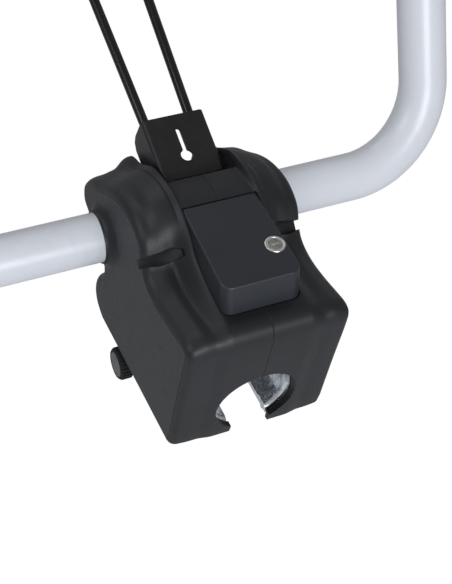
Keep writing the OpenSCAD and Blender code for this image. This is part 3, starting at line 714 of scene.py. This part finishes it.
@dataclass
class Housing:
    """Coupling housing: two moulded halves lofted through side outlines."""

    edge_r: float = 5.0
    seam_bevel: float = 0.35
    foot_start: float = 27.0
    foot_run: float = 12.0
    wall_start: float = 43.0
    wall_run: float = 13.0
    # Height, distance from the seam and width of the lip, and of the groove beside it
    lip: Triple = (0.8, 27.7, 0.8)
    groove: Triple = (0.7, 31.0, 1.1)
    mouth_r: float = 29.0
    mouth_z: float = 32.5
    neck_half: float = 14.25
    chamber_half: float = 45.0
    pivot_bore_r: float = 7.0
    bush_bore_r: float = 19.8
    tube_gap: float = 0.3
    collar_reach: float = 5.0
    collar_rise: float = 7.0
    collar_gap: float = 1.2
    screw_places: tuple[tuple[float, float], ...] = ((14, 97), (87, 119), (134.5, 12))
    screw_bore_r: float = 2.55
    screw_head_r: float = 4.5
    seat_gap: float = 0.2
    vent_lip: tuple[Place, ...] = (
        (31.5, 50.5, 124), (38, 51.5, 119.6), (46, 56, 113), (62, 63, 108.5))
    vent_width: tuple[float, ...] = (4.5, 9.5, 9.0, 5.0)
    vent_out: Triple = (0.0, -10.0, 16.0)
    vent_up: Triple = (0.0, 0.72, 0.69)
    vent_deep: Triple = (0.0, 11.0, -9.0)
    stations: np.ndarray = field(init=False)
    front: np.ndarray = field(init=False)
    hood: np.ndarray = field(init=False)
    back: np.ndarray = field(init=False)

    def __post_init__(self) -> None:
        """Sets the side outlines, clockwise from the front edge: front and roof, hood, then back.

        front holds the roof line at the seam, at the hood's foot and at the side wall. hood holds
        one line for each station across the half. back is the same line everywhere.
        """
        self.front = np.array([
            [(0, -25), (-7.2, 50), (-12, 93), (-12.6, 108), (-5, 114.5), (8, 113.8), (26, 115.4),
             (44, 118.6), (55, 123), (63, 130)],
            [(1.6, -25), (-5.6, 50), (-10.4, 91), (-11.2, 106), (-3.6, 111.5), (8, 109.6),
             (26, 106), (44, 104), (58, 106.5), (65, 113)],
            [(2.4, -25), (-4.8, 50), (-9.6, 90), (-10.4, 104), (-3, 108.5), (8, 106.6),
             (26, 102.6), (44, 100.4), (58, 102.5), (65, 108)]], float)
        seam = [(71, 135.5), (82, 138.4), (93, 138.4), (104, 136.2), (115, 132.5), (126, 127),
                (137, 119.7), (147, 112.6), (155, 109.3), (163, 105), (172, 96)]
        lines = {
            0: seam, 24.5: seam,
            27.2: [(71, 135.5), (82, 139.5), (93, 141), (104, 140), (115, 138), (126, 134.5),
                   (136, 127), (146, 119.5), (155, 117.5), (163, 113.5), (172, 102)],
            31: [(71, 133), (82, 139), (93, 141.5), (104, 140.5), (115, 137.5), (126, 133),
                 (136, 126), (146, 117.5), (155, 114.5), (165, 110), (172, 100)],
            36: [(71, 131), (82, 138), (93, 140.5), (104, 139), (115, 136), (126, 131.5),
                 (136, 124.5), (146, 115.5), (156, 107), (165, 102), (171, 96)],
            43: [(71, 128), (82, 135.5), (93, 138), (104, 137), (115, 133.5), (126, 128.5),
                 (136, 121), (146, 112.5), (156, 106), (165, 100), (171, 93)],
            50: [(71, 124.5), (80, 130.5), (92, 133.5), (105, 132.2), (118, 128.3), (130, 122),
                 (140, 115), (149, 109), (158.5, 103), (167, 96.5), (173, 90)],
            57: [(71, 123), (80, 129), (92, 132), (105, 130.7), (118, 126.8), (130, 120.5),
                 (140, 113.5), (149, 107.5), (158.5, 102), (167, 95.5), (173, 88)]}
        self.stations = np.array(list(lines), float)
        self.hood = np.array(list(lines.values()), float)
        self.back = np.array([(177, 82), (175, 69), (161, 64), (148, 54.5), (133.5, 49),
                              (131.5, 37), (145, 22), (148, 6), (140, -7), (112, -16),
                              (60, -27)], float)

    def outline(self, x: float, depth: float) -> np.ndarray:
        """One ring of the skin.

        Args:
            x: Distance from the seam.
            depth: How far the ring is drawn in.

        Returns:
            Ring whose roof runs from the seam's line to the hood's foot, and from that to the
            side wall's, by smooth steps; its hood follows the stations. A low lip stands along
            the hood's inner edge, with a shallow groove beside it: two bell curves over x.
        """
        centre = 1 - smooth_step((x - self.foot_start) / self.foot_run)
        side = smooth_step((x - self.wall_start) / self.wall_run)
        roof = np.tensordot([centre, max(0.0, 1 - centre - side), side], self.front, 1)
        hood = through(self.stations, self.hood, min(x, HALF_WIDTH))
        rise, cut = self.lip[0], self.groove[0]
        hood[1:8, 1] += rise * bell(x, *self.lip[1:]) - cut * bell(x, *self.groove[1:])
        ring = softened(np.concatenate([roof, hood, self.back]), 1)
        ring = softened(inset(ring, depth), 2)
        return np.column_stack([np.full(len(ring), x), ring])

    def skin(self) -> np.ndarray:
        """The outer surface of the right half.

        Returns:
            Rings from a bevelled seam over the hood, closest at its lip, to the rounded rim of
            the side wall.
        """
        start = HALF_WIDTH - self.edge_r - 0.2
        turn = np.linspace(0, math.pi / 2, 11)
        # Rings stand closer where the lip and the groove run
        flat = [np.linspace(1.5, 24, 16), np.linspace(25, 33.4, 22),
                np.linspace(34.4, start - 0.8, 20)]
        places = [(0.0, self.seam_bevel), (self.seam_bevel, 0.0)]
        places += [(x, 0.0) for x in np.concatenate(flat)]
        places += [(start + self.edge_r * math.sin(a), self.edge_r * (1 - math.cos(a)))
                   for a in turn]
        places += [(HALF_WIDTH, self.edge_r)]
        return np.stack([self.outline(x, depth) for x, depth in places])

    def rooms(self) -> list[np.ndarray]:
        """What the halves leave free inside.

        Returns:
            Closed forms that reach past the walls which they open.
        """
        _, tube_y, tube_z = TUBE_PLACE
        _, pivot_y, pivot_z = PIVOT_PLACE
        disc = circle(self.mouth_r, 128)
        mouth = np.stack([np.column_stack([disc[:, 0], np.full(128, y), disc[:, 1] + self.mouth_z])
                          for y in (-30, 30)])
        p, c, far = POCKET_HALF, self.chamber_half, 90.0
        return [
            mouth,
            # Neck slot below the mouth
            block((-self.neck_half, -30, -40), (self.neck_half, 30, BALL_PLACE[2])),
            # Chamber of the jaws, and its front part behind a thinner wall
            block((-c, 7, -41), (c, 66, 92.5)),
            block((-c, 1.5, -41), (c, 9, 62)),
            # Side plates, draw bar and lever, in steps that follow the roof
            block((-p, 65, -42), (p, 139, 50)),
            block((-p, 65, 49), (p, 155, 96)),
            block((-p, 84, 90), (p, 112, 112)),
            block((-p, 98, 100), (p, 112, 125)),
            block((-p, 109.5, 92), (p, 260, 152)),
            block((-p, tube_y + 8, 60), (p, 260, 120)),
            block((-p, 107, 100), (p, 111, 129)),
            # Way of the lock bolt
            block((-BOLT_ROOM_HALF, 80, BOLT_ROOM_LOW), (BOLT_ROOM_HALF, 140, BOLT_ROOM_HIGH)),
            # Hollow side
            block((p + 4, 71, -43), (HALF_WIDTH - 8, 127, 46)),
            bar_x(pivot_y, pivot_z, self.pivot_bore_r, -29, 29),
            bar_x(tube_y, tube_z, self.bush_bore_r, -53, 53, 128),
            bar_x(tube_y, tube_z, TUBE_R + self.tube_gap, -far, far, 128),
        ]

    def underside(self) -> np.ndarray:
        """What is cut off below, so that the lower edges stay crisp."""
        line = np.array([(-40, 1.6), (60, -2.6), (136, -6.2), (136, -60), (-40, -60)])
        return slab(line, -80.0, 80.0)

    def vent(self) -> np.ndarray:
        """The lens-shaped slot under the hood's lip.

        Returns:
            Four-sided rings along the lip, narrow at its inner end, that open upwards and
            outwards and reach down into the wall.
        """
        lip = np.array(self.vent_lip, float)
        up = np.array(self.vent_up) * np.array(self.vent_width, float)[:, None]
        out, deep = np.array(self.vent_out), np.array(self.vent_deep)
        return np.stack([lip + deep, lip + out, lip + up + out, lip + up + deep], 1)

    def collar(self) -> np.ndarray:
        """The cove that runs out from the side wall to the tube.

        Returns:
            Rings of a quarter hollow turned about the tube.
        """
        a = np.linspace(0, math.pi / 2, 12)
        foot = TUBE_R + self.collar_gap
        flare = np.column_stack([HALF_WIDTH + self.collar_reach * (1 - np.cos(a)),
                                 foot + self.collar_rise * (1 - np.sin(a))])
        start = [[HALF_WIDTH - 6, foot + self.collar_rise],
                 [HALF_WIDTH - 0.1, foot + self.collar_rise]]
        return lathe(np.concatenate([start, flare]), 128) + TUBE_PLACE

    def screw_rooms(self, side: Side) -> list[np.ndarray]:
        """Bores of the three housing screws.

        Args:
            side: The half; the right one also has a recess for each head.

        Returns:
            Rings of the bores and recesses.
        """
        ends = (-10.0, 54.0) if side is Side.RIGHT else (-45.0, 10.0)
        rooms = []
        for y, z in self.screw_places:
            rooms.append(bar_x(y, z, self.screw_bore_r, *ends, 32))
            if side is Side.RIGHT:
                rooms.append(bar_x(y, z, self.screw_head_r, 51.0, 91.0, 48))
        return rooms

    def build(self, cover: "LockCover") -> None:
        """Makes both halves.

        Args:
            cover: The lock cover, which gives the form of its seat.
        """
        skin = self.skin()
        rooms = [*self.rooms(), self.underside(), self.vent(), cover.form(self.seat_gap, 30)]
        for side in Side:
            word = side.name.lower()
            half = solid(f"housing_shell_{word}", mirrored(skin, side))
            combined(half, [mirrored(self.collar(), side)], "UNION")
            cuts = [mirrored(rings, side) for rings in rooms] + self.screw_rooms(side)
            combined(half, cuts, "DIFFERENCE")
            role = Role(Body.HEAD, "housing_plastic", MOULDED_NYLON, (f"housing_{word}",))
            fitted(shaded(half, 32), role)


@dataclass
class LockCover:
    """Raised cover with the key lock."""

    half_width: float = 27.8
    front: float = 4.8
    back: float = 81.0
    foot: float = 107.0
    top: float = 133.8
    tilt: float = math.radians(3)
    lean: float = 5.4
    draft: float = 0.4
    taper: float = 1.2
    corner: float = 7.0
    rear_corner: float = 2.0
    edge: float = 1.3
    wall: float = 3.0
    lock_r: float = 6.8
    lock_x: float = 19.0
    lock_y: float = 35.3
    ring_width: float = 1.4
    keyway: Triple = (2.0, 2.6, 0.45)

    def form(self, grow: float, extra: float) -> np.ndarray:
        """Rings of the cover's outside.

        Args:
            grow: How far the walls stand out, for the seat in the housing.
            extra: Extra height.

        Returns:
            Rounded four-sided rings from the foot to the top; the front leans back, the top
            tilts up to the rear, and a quarter circle rounds the top edge.
        """
        turn = np.linspace(0, math.pi / 2, 6)
        levels = [(0.0, 0.0)]
        levels += [(self.edge * math.sin(a), self.edge * (1 - math.cos(a))) for a in turn]
        rings = []
        for step, (rise, draw) in enumerate(levels):
            above = float(step > 0)
            w = self.half_width + grow - draw - self.draft * above
            front = self.front - grow + self.lean * above + draw
            rear = self.back + grow - draw
            r = self.corner - draw * 0.5
            loop = rounded_outline([
                (-w, front, r), (w, front, r), (w - self.taper, rear, self.rear_corner),
                (-w + self.taper, rear, self.rear_corner)], 10)
            z = np.full(len(loop), self.foot - grow)
            if step:
                slope = (loop[:, 1] - self.front - self.lean) * math.tan(self.tilt)
                z = self.top - self.edge + rise + slope + extra
            rings.append(np.column_stack([loop, z]))
        return np.stack(rings)

    def at_lock(self, rings: np.ndarray) -> np.ndarray:
        """Moves a form of the lock to its place.

        Args:
            rings: Rings about X, which becomes the lock's own axis.

        Returns:
            Rings that stand up square to the cover's top.
        """
        upright = np.stack([rings[..., 1], rings[..., 2], rings[..., 0]], -1)
        z = self.top + (self.lock_y - self.front - self.lean) * math.tan(self.tilt)
        return turned(upright, self.tilt, np.array([self.lock_x, self.lock_y, z]))

    def turned_part(self, name: str, profile: list[tuple[float, float]]) -> bpy.types.Object:
        """A part of the lock, turned about its axis from an (x, r) profile."""
        return solid(name, self.at_lock(lathe(np.array(profile), 96)))

    def build(self) -> None:
        """Makes the cover, its bright ring and the barrel's face."""
        cover = solid("lock_cover_shell", self.form(0, 0))
        bore_r = self.lock_r + 0.1
        bore = self.at_lock(lathe(np.array([[-12, bore_r], [18, bore_r]]), 64))
        inside = self.form(-self.wall, -self.wall)
        inside[0, :, 2] -= 2 * self.wall
        bolt_way = block((-BOLT_ROOM_HALF, 61, BOLT_ROOM_LOW),
                         (BOLT_ROOM_HALF, 101, BOLT_ROOM_HIGH))
        combined(cover, [inside, bore, bolt_way], "DIFFERENCE")
        fitted(shaded(cover, 32), Role(Body.HEAD, "cover_plastic", MOULDED_ABS, ("lock_cover",)))
        r, inner = self.lock_r, self.lock_r - self.ring_width
        ring = self.turned_part("lock_ring", [
            (-4, inner), (-4, r), (0.25, r), (0.5, r - 0.2), (0.6, r - 0.5), (0.6, inner + 0.4),
            (0.5, inner + 0.1), (0.3, inner)])
        fitted(shaded(ring, 30), Role(Body.HEAD, "lock_metal", SATIN_NICKEL, ("lock_bezel",)))
        face_r = inner - 0.05
        face = self.turned_part("lock_barrel_face", [
            (-6.5, face_r), (0.1, face_r), (0.28, face_r - 0.2), (0.3, face_r - 0.5)])
        deep, long, thick = self.keyway
        slot = self.at_lock(block((-deep, -long, -thick), (deep, long, thick)))
        combined(face, [slot], "DIFFERENCE")
        fitted(shaded(face, 30), Role(Body.LOCK, "lock_metal", SATIN_NICKEL, ("lock_barrel",)))


@dataclass
class Lever:
    """Pressed steel bracket with a keyhole, and the rod bent into a long loop."""

    width: float = 45.0
    sheet: float = 2.5
    length: float = 46.0
    web_top: float = 23.3
    web_start: float = 1.6
    depth: float = 30.0
    bend: float = 3.2
    pin_bore_r: float = 4.05
    key_r: float = 4.3
    key_slot: float = 3.2
    key_s: float = 17.0
    key_run: float = 19.0
    rod_r: float = 3.5
    rod_start: float = 14.0
    rod_drop: float = 12.4
    rod_reach: float = 330.0
    rod_splay: float = math.radians(1.6)
    rod_bend: float = 12.0

    def placed(self, rings: np.ndarray) -> np.ndarray:
        """Rings drawn lying along Y from the pivot, turned up to the lever's rest."""
        return turned(rings, LEVER_RISE, PIVOT_PLACE)

    def channel(self) -> np.ndarray:
        """Sheet of one thickness folded into a channel.

        Returns:
            Rings of its section, carried along the lever.
        """
        half, low, top = self.width / 2, self.web_top - self.depth - 30, self.web_top
        t, bend = self.sheet, self.bend
        outer = [(-half, low, 0), (-half, top, bend), (half, top, bend), (half, low, 0)]
        inner = [(half - t, low, 0), (half - t, top - t, bend - t),
                 (-half + t, top - t, bend - t), (-half + t, low, 0)]
        section = rounded_outline(outer + inner, 9)
        spots = (-30.0, self.web_start + self.length + 0.001)
        return np.stack([np.column_stack([section[:, 0], np.full(len(section), s), section[:, 1]])
                         for s in spots])

    def side_view(self) -> np.ndarray:
        """What stays of the flanges and web in side view."""
        start, end = self.web_start, self.web_start + self.length
        top, low = self.web_top, self.web_top - self.depth
        return rounded_outline([
            (start, top + 6, 0.2), (end, top + 6, 0.2), (end, low + 9, 2.5),
            (end - 2, low + 3, 2.5), (end - 7, low, 3), (4, low, 3), (-10, -8, 7), (-10, 8, 7),
            (start, top - 2, 0.5)], 7)

    def keyhole(self) -> list[np.ndarray]:
        """The keyhole in the web.

        Returns:
            Forms of the round entry, of the slot's round end and of the narrow slot.
        """
        half, end = self.key_slot / 2, self.key_s + self.key_run
        rings = []
        for r, s in ((self.key_r, self.key_s), (half, end)):
            disc = circle(r, 48)
            rings.append(np.stack([np.column_stack([disc[:, 0], disc[:, 1] + s, np.full(48, z)])
                                   for z in (10, 40)]))
        rings.append(block((-half, self.key_s, 9), (half, end, 41)))
        return rings

    def bracket(self) -> bpy.types.Object:
        """The folded bracket.

        Returns:
            The channel, trimmed to its side view, with the keyhole and the bore of its pin.
        """
        plate = solid("lever_bracket_plate", self.placed(self.channel()))
        combined(plate, [self.placed(slab(self.side_view(), -40, 40))], "INTERSECT")
        cuts = [*self.keyhole(), bar_x(0, 0, self.pin_bore_r, -40, 40, 48)]
        combined(plate, [self.placed(rings) for rings in cuts], "DIFFERENCE")
        return shaded(plate, 30, 0.25)

    def rod(self) -> bpy.types.Object:
        """One rod bent into a long loop.

        Returns:
            A circle carried along two splayed legs, two round corners and the cross part.
        """
        splay, bend_r = self.rod_splay, self.rod_bend
        foot = self.width / 2 - self.sheet - self.rod_r - 0.1
        start = self.web_start + self.rod_start
        x0 = foot + (start - self.web_start - self.length) * math.tan(splay)
        leg = (self.rod_reach - bend_r * (1 + math.sin(splay)) - start) / math.cos(splay)
        corner = x0 + leg * math.sin(splay) - bend_r * math.cos(splay)
        a = np.linspace(-splay, math.pi / 2, 24)
        bend = np.column_stack([corner + bend_r * np.cos(a),
                                self.rod_reach - bend_r * (1 - np.sin(a))])
        legs = np.column_stack([np.linspace(x0, bend[0, 0], 30),
                                np.linspace(start, bend[0, 1], 30)])[:-1]
        right = np.concatenate([legs, bend])
        left = right[::-1] * np.array([-1, 1])
        flat = np.concatenate([right, left])
        path = np.column_stack([flat, np.full(len(flat), self.web_top - self.rod_drop)])
        rings = carried(circle(self.rod_r, 40), path, np.array([0.0, 0.0, 1.0]))
        return shaded(solid("lever_rod", self.placed(rings)), 50)

    def build(self) -> None:
        """Makes the bracket and the rod."""
        fitted(self.bracket(), Role(Body.LEVER, "black_steel", DIPPED_STEEL, ("lever_bracket",)))
        fitted(self.rod(), Role(Body.LEVER, "black_steel", ENAMELLED_ROD, ("lever_bail",)))


@dataclass
class FrameTube:
    """The bent hoop through the housing."""

    mast_half: float = 200.0
    bend_r: float = 64.0
    height: float = 860.0

    def placed(self, rings: np.ndarray) -> np.ndarray:
        """Rings of the mast's own plane, leant away from the car."""
        return turned(rings, -MAST_LEAN, TUBE_PLACE)

    def build(self) -> None:
        """Makes the hoop: a circle carried along cross tube, quarter bends and uprights."""
        a = np.linspace(-math.pi / 2, 0, 40)
        centre = self.mast_half - self.bend_r
        bend = np.column_stack([centre + self.bend_r * np.cos(a), self.bend_r * (1 + np.sin(a))])
        level = np.column_stack([np.linspace(0, centre, 12)[:-1], np.zeros(11)])
        upright = np.column_stack([np.full(30, self.mast_half),
                                   np.linspace(self.bend_r, self.height, 30)])[1:]
        right = np.concatenate([level, bend, upright])
        left = (right[1:] * np.array([-1, 1]))[::-1]
        flat = np.concatenate([left, right])
        path = np.column_stack([flat[:, 0], np.zeros(len(flat)), flat[:, 1]])
        rings = carried(circle(TUBE_R, 96), path, np.array([0.0, 1.0, 0.0]))
        hoop = solid("frame_hoop", self.placed(rings))
        fitted(shaded(hoop, 50), Role(Body.HEAD, "silver_paint", POWDER_COAT, ("frame_tube",)))


@dataclass
class Jaws:
    """The two half cups, each with a nose that reaches to the front wall."""

    slot_half: float = 14.65
    socket_r: float = 25.4
    cup_r: float = 28.8
    nose_r: float = 31.0
    nose_front: float = 3.0
    nose_top: float = 44.0
    nose_x: float = 1.5
    nose_z: float = 30.0

    def about(self, profile: list[tuple[float, float]], x: float, z: float) -> np.ndarray:
        """Rings of a (y, r) profile turned about a line along Y through (x, z)."""
        return lathe(np.array(profile), 96)[..., [1, 0, 2]] + np.array([x, 0.0, z])

    def build(self) -> None:
        """Makes each jaw from its CAD form and the nose, a turned ring cut off at the slot."""
        y, r = self.nose_front, self.nose_r
        ball_y = BALL_PLACE[1]
        outside = [(y, r - 0.9), (y + 0.5, r - 0.1), (y + 1.2, r), (y + 2.6, r),
                   (y + 5.6, self.cup_r), (ball_y - 20, self.cup_r)]
        inside = [(y - 2, r - 2.0), (y + 0.4, r - 2.4), (y + 1.4, r - 4.6),
                  (y + 3.6, self.socket_r), (ball_y, self.socket_r)]
        hollow = self.about(inside, self.nose_x * 0.5, self.nose_z - 1.0)
        kept = block((self.slot_half, -20, -20), (60, ball_y, self.nose_top))
        for side in Side:
            name = f"jaw_{side.name.lower()}"
            nose = solid(f"{name}_cup", self.about(outside, self.nose_x, self.nose_z))
            combined(nose, [hollow], "DIFFERENCE")
            combined(nose, [kept], "INTERSECT")
            flip(nose, side)
            cup = worked(softened_copy(name, 0.35), [nose], "UNION")
            role = Role(body_with("jaw", side), "zinc_steel", ZINC_PLATE, (name,))
            fitted(shaded(cup, 30), role)


@dataclass
class Adjuster:
    """The serrated knob on the left end of the cross bolt."""

    place: tuple[float, float] = (95.0, -22.0)
    outer: float = -59.0
    rim_r: float = 12.2
    width: float = 10.0
    sleeve_r: float = 7.0
    bore_r: float = 4.0
    teeth: int = 24
    tooth: float = 0.9

    def build(self) -> None:
        """Makes the rim, whose radius waves as a smooth-stepped cosine, the sleeve and the face."""
        sides = self.teeth * 12
        a = np.linspace(0, 2 * math.pi, sides, endpoint=False)
        wave = self.tooth * smooth_step(0.5 + 1.2 * np.cos(self.teeth * a))
        rim, end = self.rim_r, self.width
        # Distance from the outer face, radius, and share of the wave there
        profile = [(0.9, 9.6, 0.0), (0.2, 10.2, 0.0), (0.3, rim - 1.6, 0.2), (1.2, rim - 0.7, 0.7),
                   (2.2, rim, 1.0), (end - 1, rim, 1.0), (end, rim - 1, 0.6),
                   (end + 0.01, self.sleeve_r, 0.0), (30.0, self.sleeve_r, 0.0)]
        rings = [np.column_stack([np.full(sides, self.outer + x), (r - wave * share) * np.cos(a),
                                  (r - wave * share) * np.sin(a)]) for x, r, share in profile]
        centre = np.array([0.0, *self.place])
        knob = solid("adjuster_knob_rim", np.stack(rings) + centre)
        bore = lathe(np.array([[self.outer + end, self.bore_r], [-20.0, self.bore_r]]), 48) + centre
        combined(knob, [bore], "DIFFERENCE")
        role = Role(Body.ADJUSTER, "black_rubber", MOULDED_RUBBER, ("adjuster_knob",))
        fitted(shaded(knob, 40), role)
        disc = np.array([[1.6, 9.4], [0.7, 9.4], [0.45, 9.1], [0.35, 8.4], [0.35, 3.2],
                         [0.6, 2.8], [0.6, 0.4]])
        disc[:, 0] += self.outer
        face = solid("adjuster_knob_face", lathe(disc, 96) + centre)
        fitted(shaded(face, 40), Role(Body.ADJUSTER, "black_rubber", KNOB_NYLON))


@dataclass
class RoundedNodes:
    """CAD nodes whose edges get the narrow rounds that pressing, casting and moulding leave."""

    widths: dict[str, tuple[float, Body]] = field(default_factory=lambda: {
        "clamp_frame": (0.35, Body.HEAD), "lever_pin": (0.3, Body.HEAD),
        "jaw_pins": (0.3, Body.HEAD), "arm_hinge_left": (0.6, Body.HEAD),
        "arm_hinge_right": (0.6, Body.HEAD), "arm_nuts": (0.4, Body.HEAD),
        "mast_caps": (0.8, Body.HEAD), "adjuster_nut": (0.4, Body.HEAD),
        "lever_grip": (0.7, Body.LEVER), "cradles_left": (1.2, Body.ARM_LEFT),
        "cradles_right": (1.2, Body.ARM_RIGHT), "straps_left": (0.7, Body.ARM_LEFT),
        "straps_right": (0.7, Body.ARM_RIGHT), "arm_cap_left": (0.8, Body.ARM_LEFT),
        "arm_cap_right": (0.8, Body.ARM_RIGHT), "arm_knob_left": (1.2, Body.KNOB_LEFT),
        "arm_knob_right": (1.2, Body.KNOB_RIGHT)})

    def build(self, finishes: dict[str, Finish], slots: dict[str, str]) -> None:
        """Makes a rounded copy of each node in its own finish.

        Args:
            finishes: Finish of each material slot.
            slots: Material slot of each CAD node.
        """
        for node, (width, body) in self.widths.items():
            role = Role(body, slots[node], finishes[slots[node]], (node,))
            fitted(softened_copy(node, width), role)


@dataclass
class PlainNodes:
    """CAD nodes that stay as they are and only get their real finish."""

    finishes: dict[str, Finish] = field(default_factory=lambda: {
        "housing_plastic": MOULDED_NYLON, "cover_plastic": MOULDED_ABS, "zinc_steel": ZINC_PLATE,
        "black_steel": DIPPED_STEEL, "silver_paint": POWDER_COAT, "lock_metal": SATIN_NICKEL,
        "black_rubber": MOULDED_RUBBER})

    slots: dict[str, str] = field(default_factory=lambda: {
        part["node"]: part["material_slot"] for part in frame["record"]["subparts"]})

    def build(self) -> None:
        """Gives every node that is still shown the finish of its slot."""
        for name, thing in frame["nodes"].items():
            if thing.hide_render:
                continue
            thing.data.materials.clear()
            thing.data.materials.append(self.finishes[self.slots[name]].material())
            log.info("%s: CAD node, %s", name, self.slots[name])


@dataclass(frozen=True)
class Lamp:
    """A square soft box at a place in metres that faces a spot."""

    name: str
    place: Place
    aim: Place
    size: float
    watts: float
    colour: Triple = (0.93, 0.96, 1.0)

    def build(self) -> None:
        """Makes the lamp: its back points away from the spot, and its side lies level."""
        light = bpy.data.lights.new(self.name, "AREA")
        light.shape, light.size, light.energy = "SQUARE", self.size, self.watts
        light.color = self.colour
        spot, target = np.array(self.place), np.array(self.aim)
        back = (spot - target) / np.linalg.norm(spot - target)
        side = np.cross([0.0, 0.0, 1.0], back)
        side = side / np.linalg.norm(side)
        turn = np.column_stack([side, np.cross(back, side), back, spot])
        linked(self.name, light).matrix_world = Matrix([*turn.tolist(), [0, 0, 0, 1]])


@dataclass
class Studio:
    """Camera, lamps, world and floor."""

    focal_px: float = 1368.52
    height_px: float = 584.0
    sensor_mm: float = 36.0
    place_mm: Place = (-330.7, -504.5, 784.4)
    scale: float = 0.95
    azimuth: float = math.radians(-30.48)
    elevation: float = math.radians(47.17)
    roll: float = math.radians(8.56)
    floor_drop: float = 0.40
    floor_half: float = 6.0
    floor_colour: tuple[float, float, float, float] = (0.62, 0.62, 0.63, 1.0)
    floor_glow: float = 1.07
    floor_share: float = 0.9
    world_light: float = 0.36
    lamps: tuple[Lamp, ...] = (
        Lamp("front_box", (-0.1, -1.9, 0.78), (0, 0.05, 0.03), 1.0, 38),
        Lamp("left_box", (-1.6, 0.1, 1.5), (0, 0.1, 0.05), 1.0, 13),
        Lamp("back_box", (-0.4, 2.0, 1.9), (0, 0.1, 0.05), 1.2, 11))

    def axes(self) -> np.ndarray:
        """The camera's turn.

        Returns:
            Right, up and back of the camera as columns: turned by azimuth and elevation, then
            rolled about back.
        """
        a, e, r = self.azimuth, self.elevation, self.roll
        back = np.array([math.sin(a) * math.cos(e), -math.cos(a) * math.cos(e), math.sin(e)])
        right = np.array([math.cos(a), math.sin(a), 0.0])
        up = np.cross(back, right)
        return np.column_stack([math.cos(r) * right + math.sin(r) * up,
                                -math.sin(r) * right + math.cos(r) * up, back])

    def camera(self) -> None:
        """Sets the camera of the photograph: its sensor height stands for the picture's height."""
        lens = bpy.data.cameras.new("photo_camera")
        lens.sensor_fit = "VERTICAL"
        lens.sensor_height, lens.sensor_width = self.sensor_mm, self.sensor_mm
        lens.lens = self.sensor_mm * self.focal_px / self.height_px
        lens.clip_start, lens.clip_end = 0.05, 50.0
        view = linked("photo_camera", lens)
        turn = np.column_stack([self.axes(), in_row(np.array(self.place_mm) * self.scale)])
        view.matrix_world = Matrix([*turn.tolist(), [0, 0, 0, 1]])
        bpy.context.scene.camera = view

    def world(self) -> None:
        """Even surround: white to the camera and through clear things, dimmer as a light."""
        made = bpy.data.worlds.new("studio_surround")
        tree = cleared(made)
        path = add_node(tree, "ShaderNodeLightPath")
        seen = add_node(tree, "ShaderNodeMath", {"operation": "MAXIMUM"},
                        {0: path.outputs["Is Camera Ray"], 1: path.outputs["Is Transmission Ray"]})
        strength = spread(tree, seen.outputs[0], (0.0, 1.0), (self.world_light, 1.0))
        sky = add_node(tree, "ShaderNodeBackground", {"Color": (1, 1, 1, 1)},
                       {"Strength": strength.outputs["Result"]})
        add_node(tree, "ShaderNodeOutputWorld", links={"Surface": sky.outputs[0]})
        bpy.context.scene.world = made

    def floor(self) -> None:
        """A pale floor below the ball: mostly white to the camera, with the rest of it shaded."""
        half, drop = self.floor_half, -self.floor_drop
        mesh = bpy.data.meshes.new("studio_floor")
        mesh.from_pydata([(-half, -half, drop), (half, -half, drop), (half, half, drop),
                          (-half, half, drop)], [], [(0, 1, 2, 3)])
        ground = linked("studio_floor", mesh)
        made = bpy.data.materials.new("matt_white_paper")
        tree = cleared(made)
        paper = add_node(tree, "ShaderNodeBsdfDiffuse", {"Color": self.floor_colour})
        glow = add_node(tree, "ShaderNodeEmission",
                        {"Color": (1, 1, 1, 1), "Strength": self.floor_glow})
        path = add_node(tree, "ShaderNodeLightPath")
        share = spread(tree, path.outputs["Is Camera Ray"], (0.0, 1.0), (0.0, self.floor_share))
        mixed = add_node(tree, "ShaderNodeMixShader", links={
            "Fac": share.outputs["Result"], 1: paper.outputs[0], 2: glow.outputs[0]})
        add_node(tree, "ShaderNodeOutputMaterial", links={"Surface": mixed.outputs[0]})
        mesh.materials.append(made)
        ground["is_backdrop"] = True

    def build(self) -> None:
        """Sets up everything round the carrier."""
        self.camera()
        self.world()
        self.floor()
        for lamp in self.lamps:
            lamp.build()
        bpy.context.scene.view_settings.view_transform = "Standard"


def corners() -> list[list[float]]:
    """The shown object's lowest and highest corner as plain lists."""
    return [[float(v) for v in corner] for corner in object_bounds()]


def main() -> None:
    logging.basicConfig(level=logging.INFO, format="%(message)s")
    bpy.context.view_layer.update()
    Studio().build()
    cover = LockCover()
    Housing().build(cover)
    cover.build()
    Lever().build()
    FrameTube().build()
    Jaws().build()
    Adjuster().build()
    plain = PlainNodes()
    RoundedNodes().build(plain.finishes, plain.slots)
    plain.build()


if __name__ == "__main__":
    main()
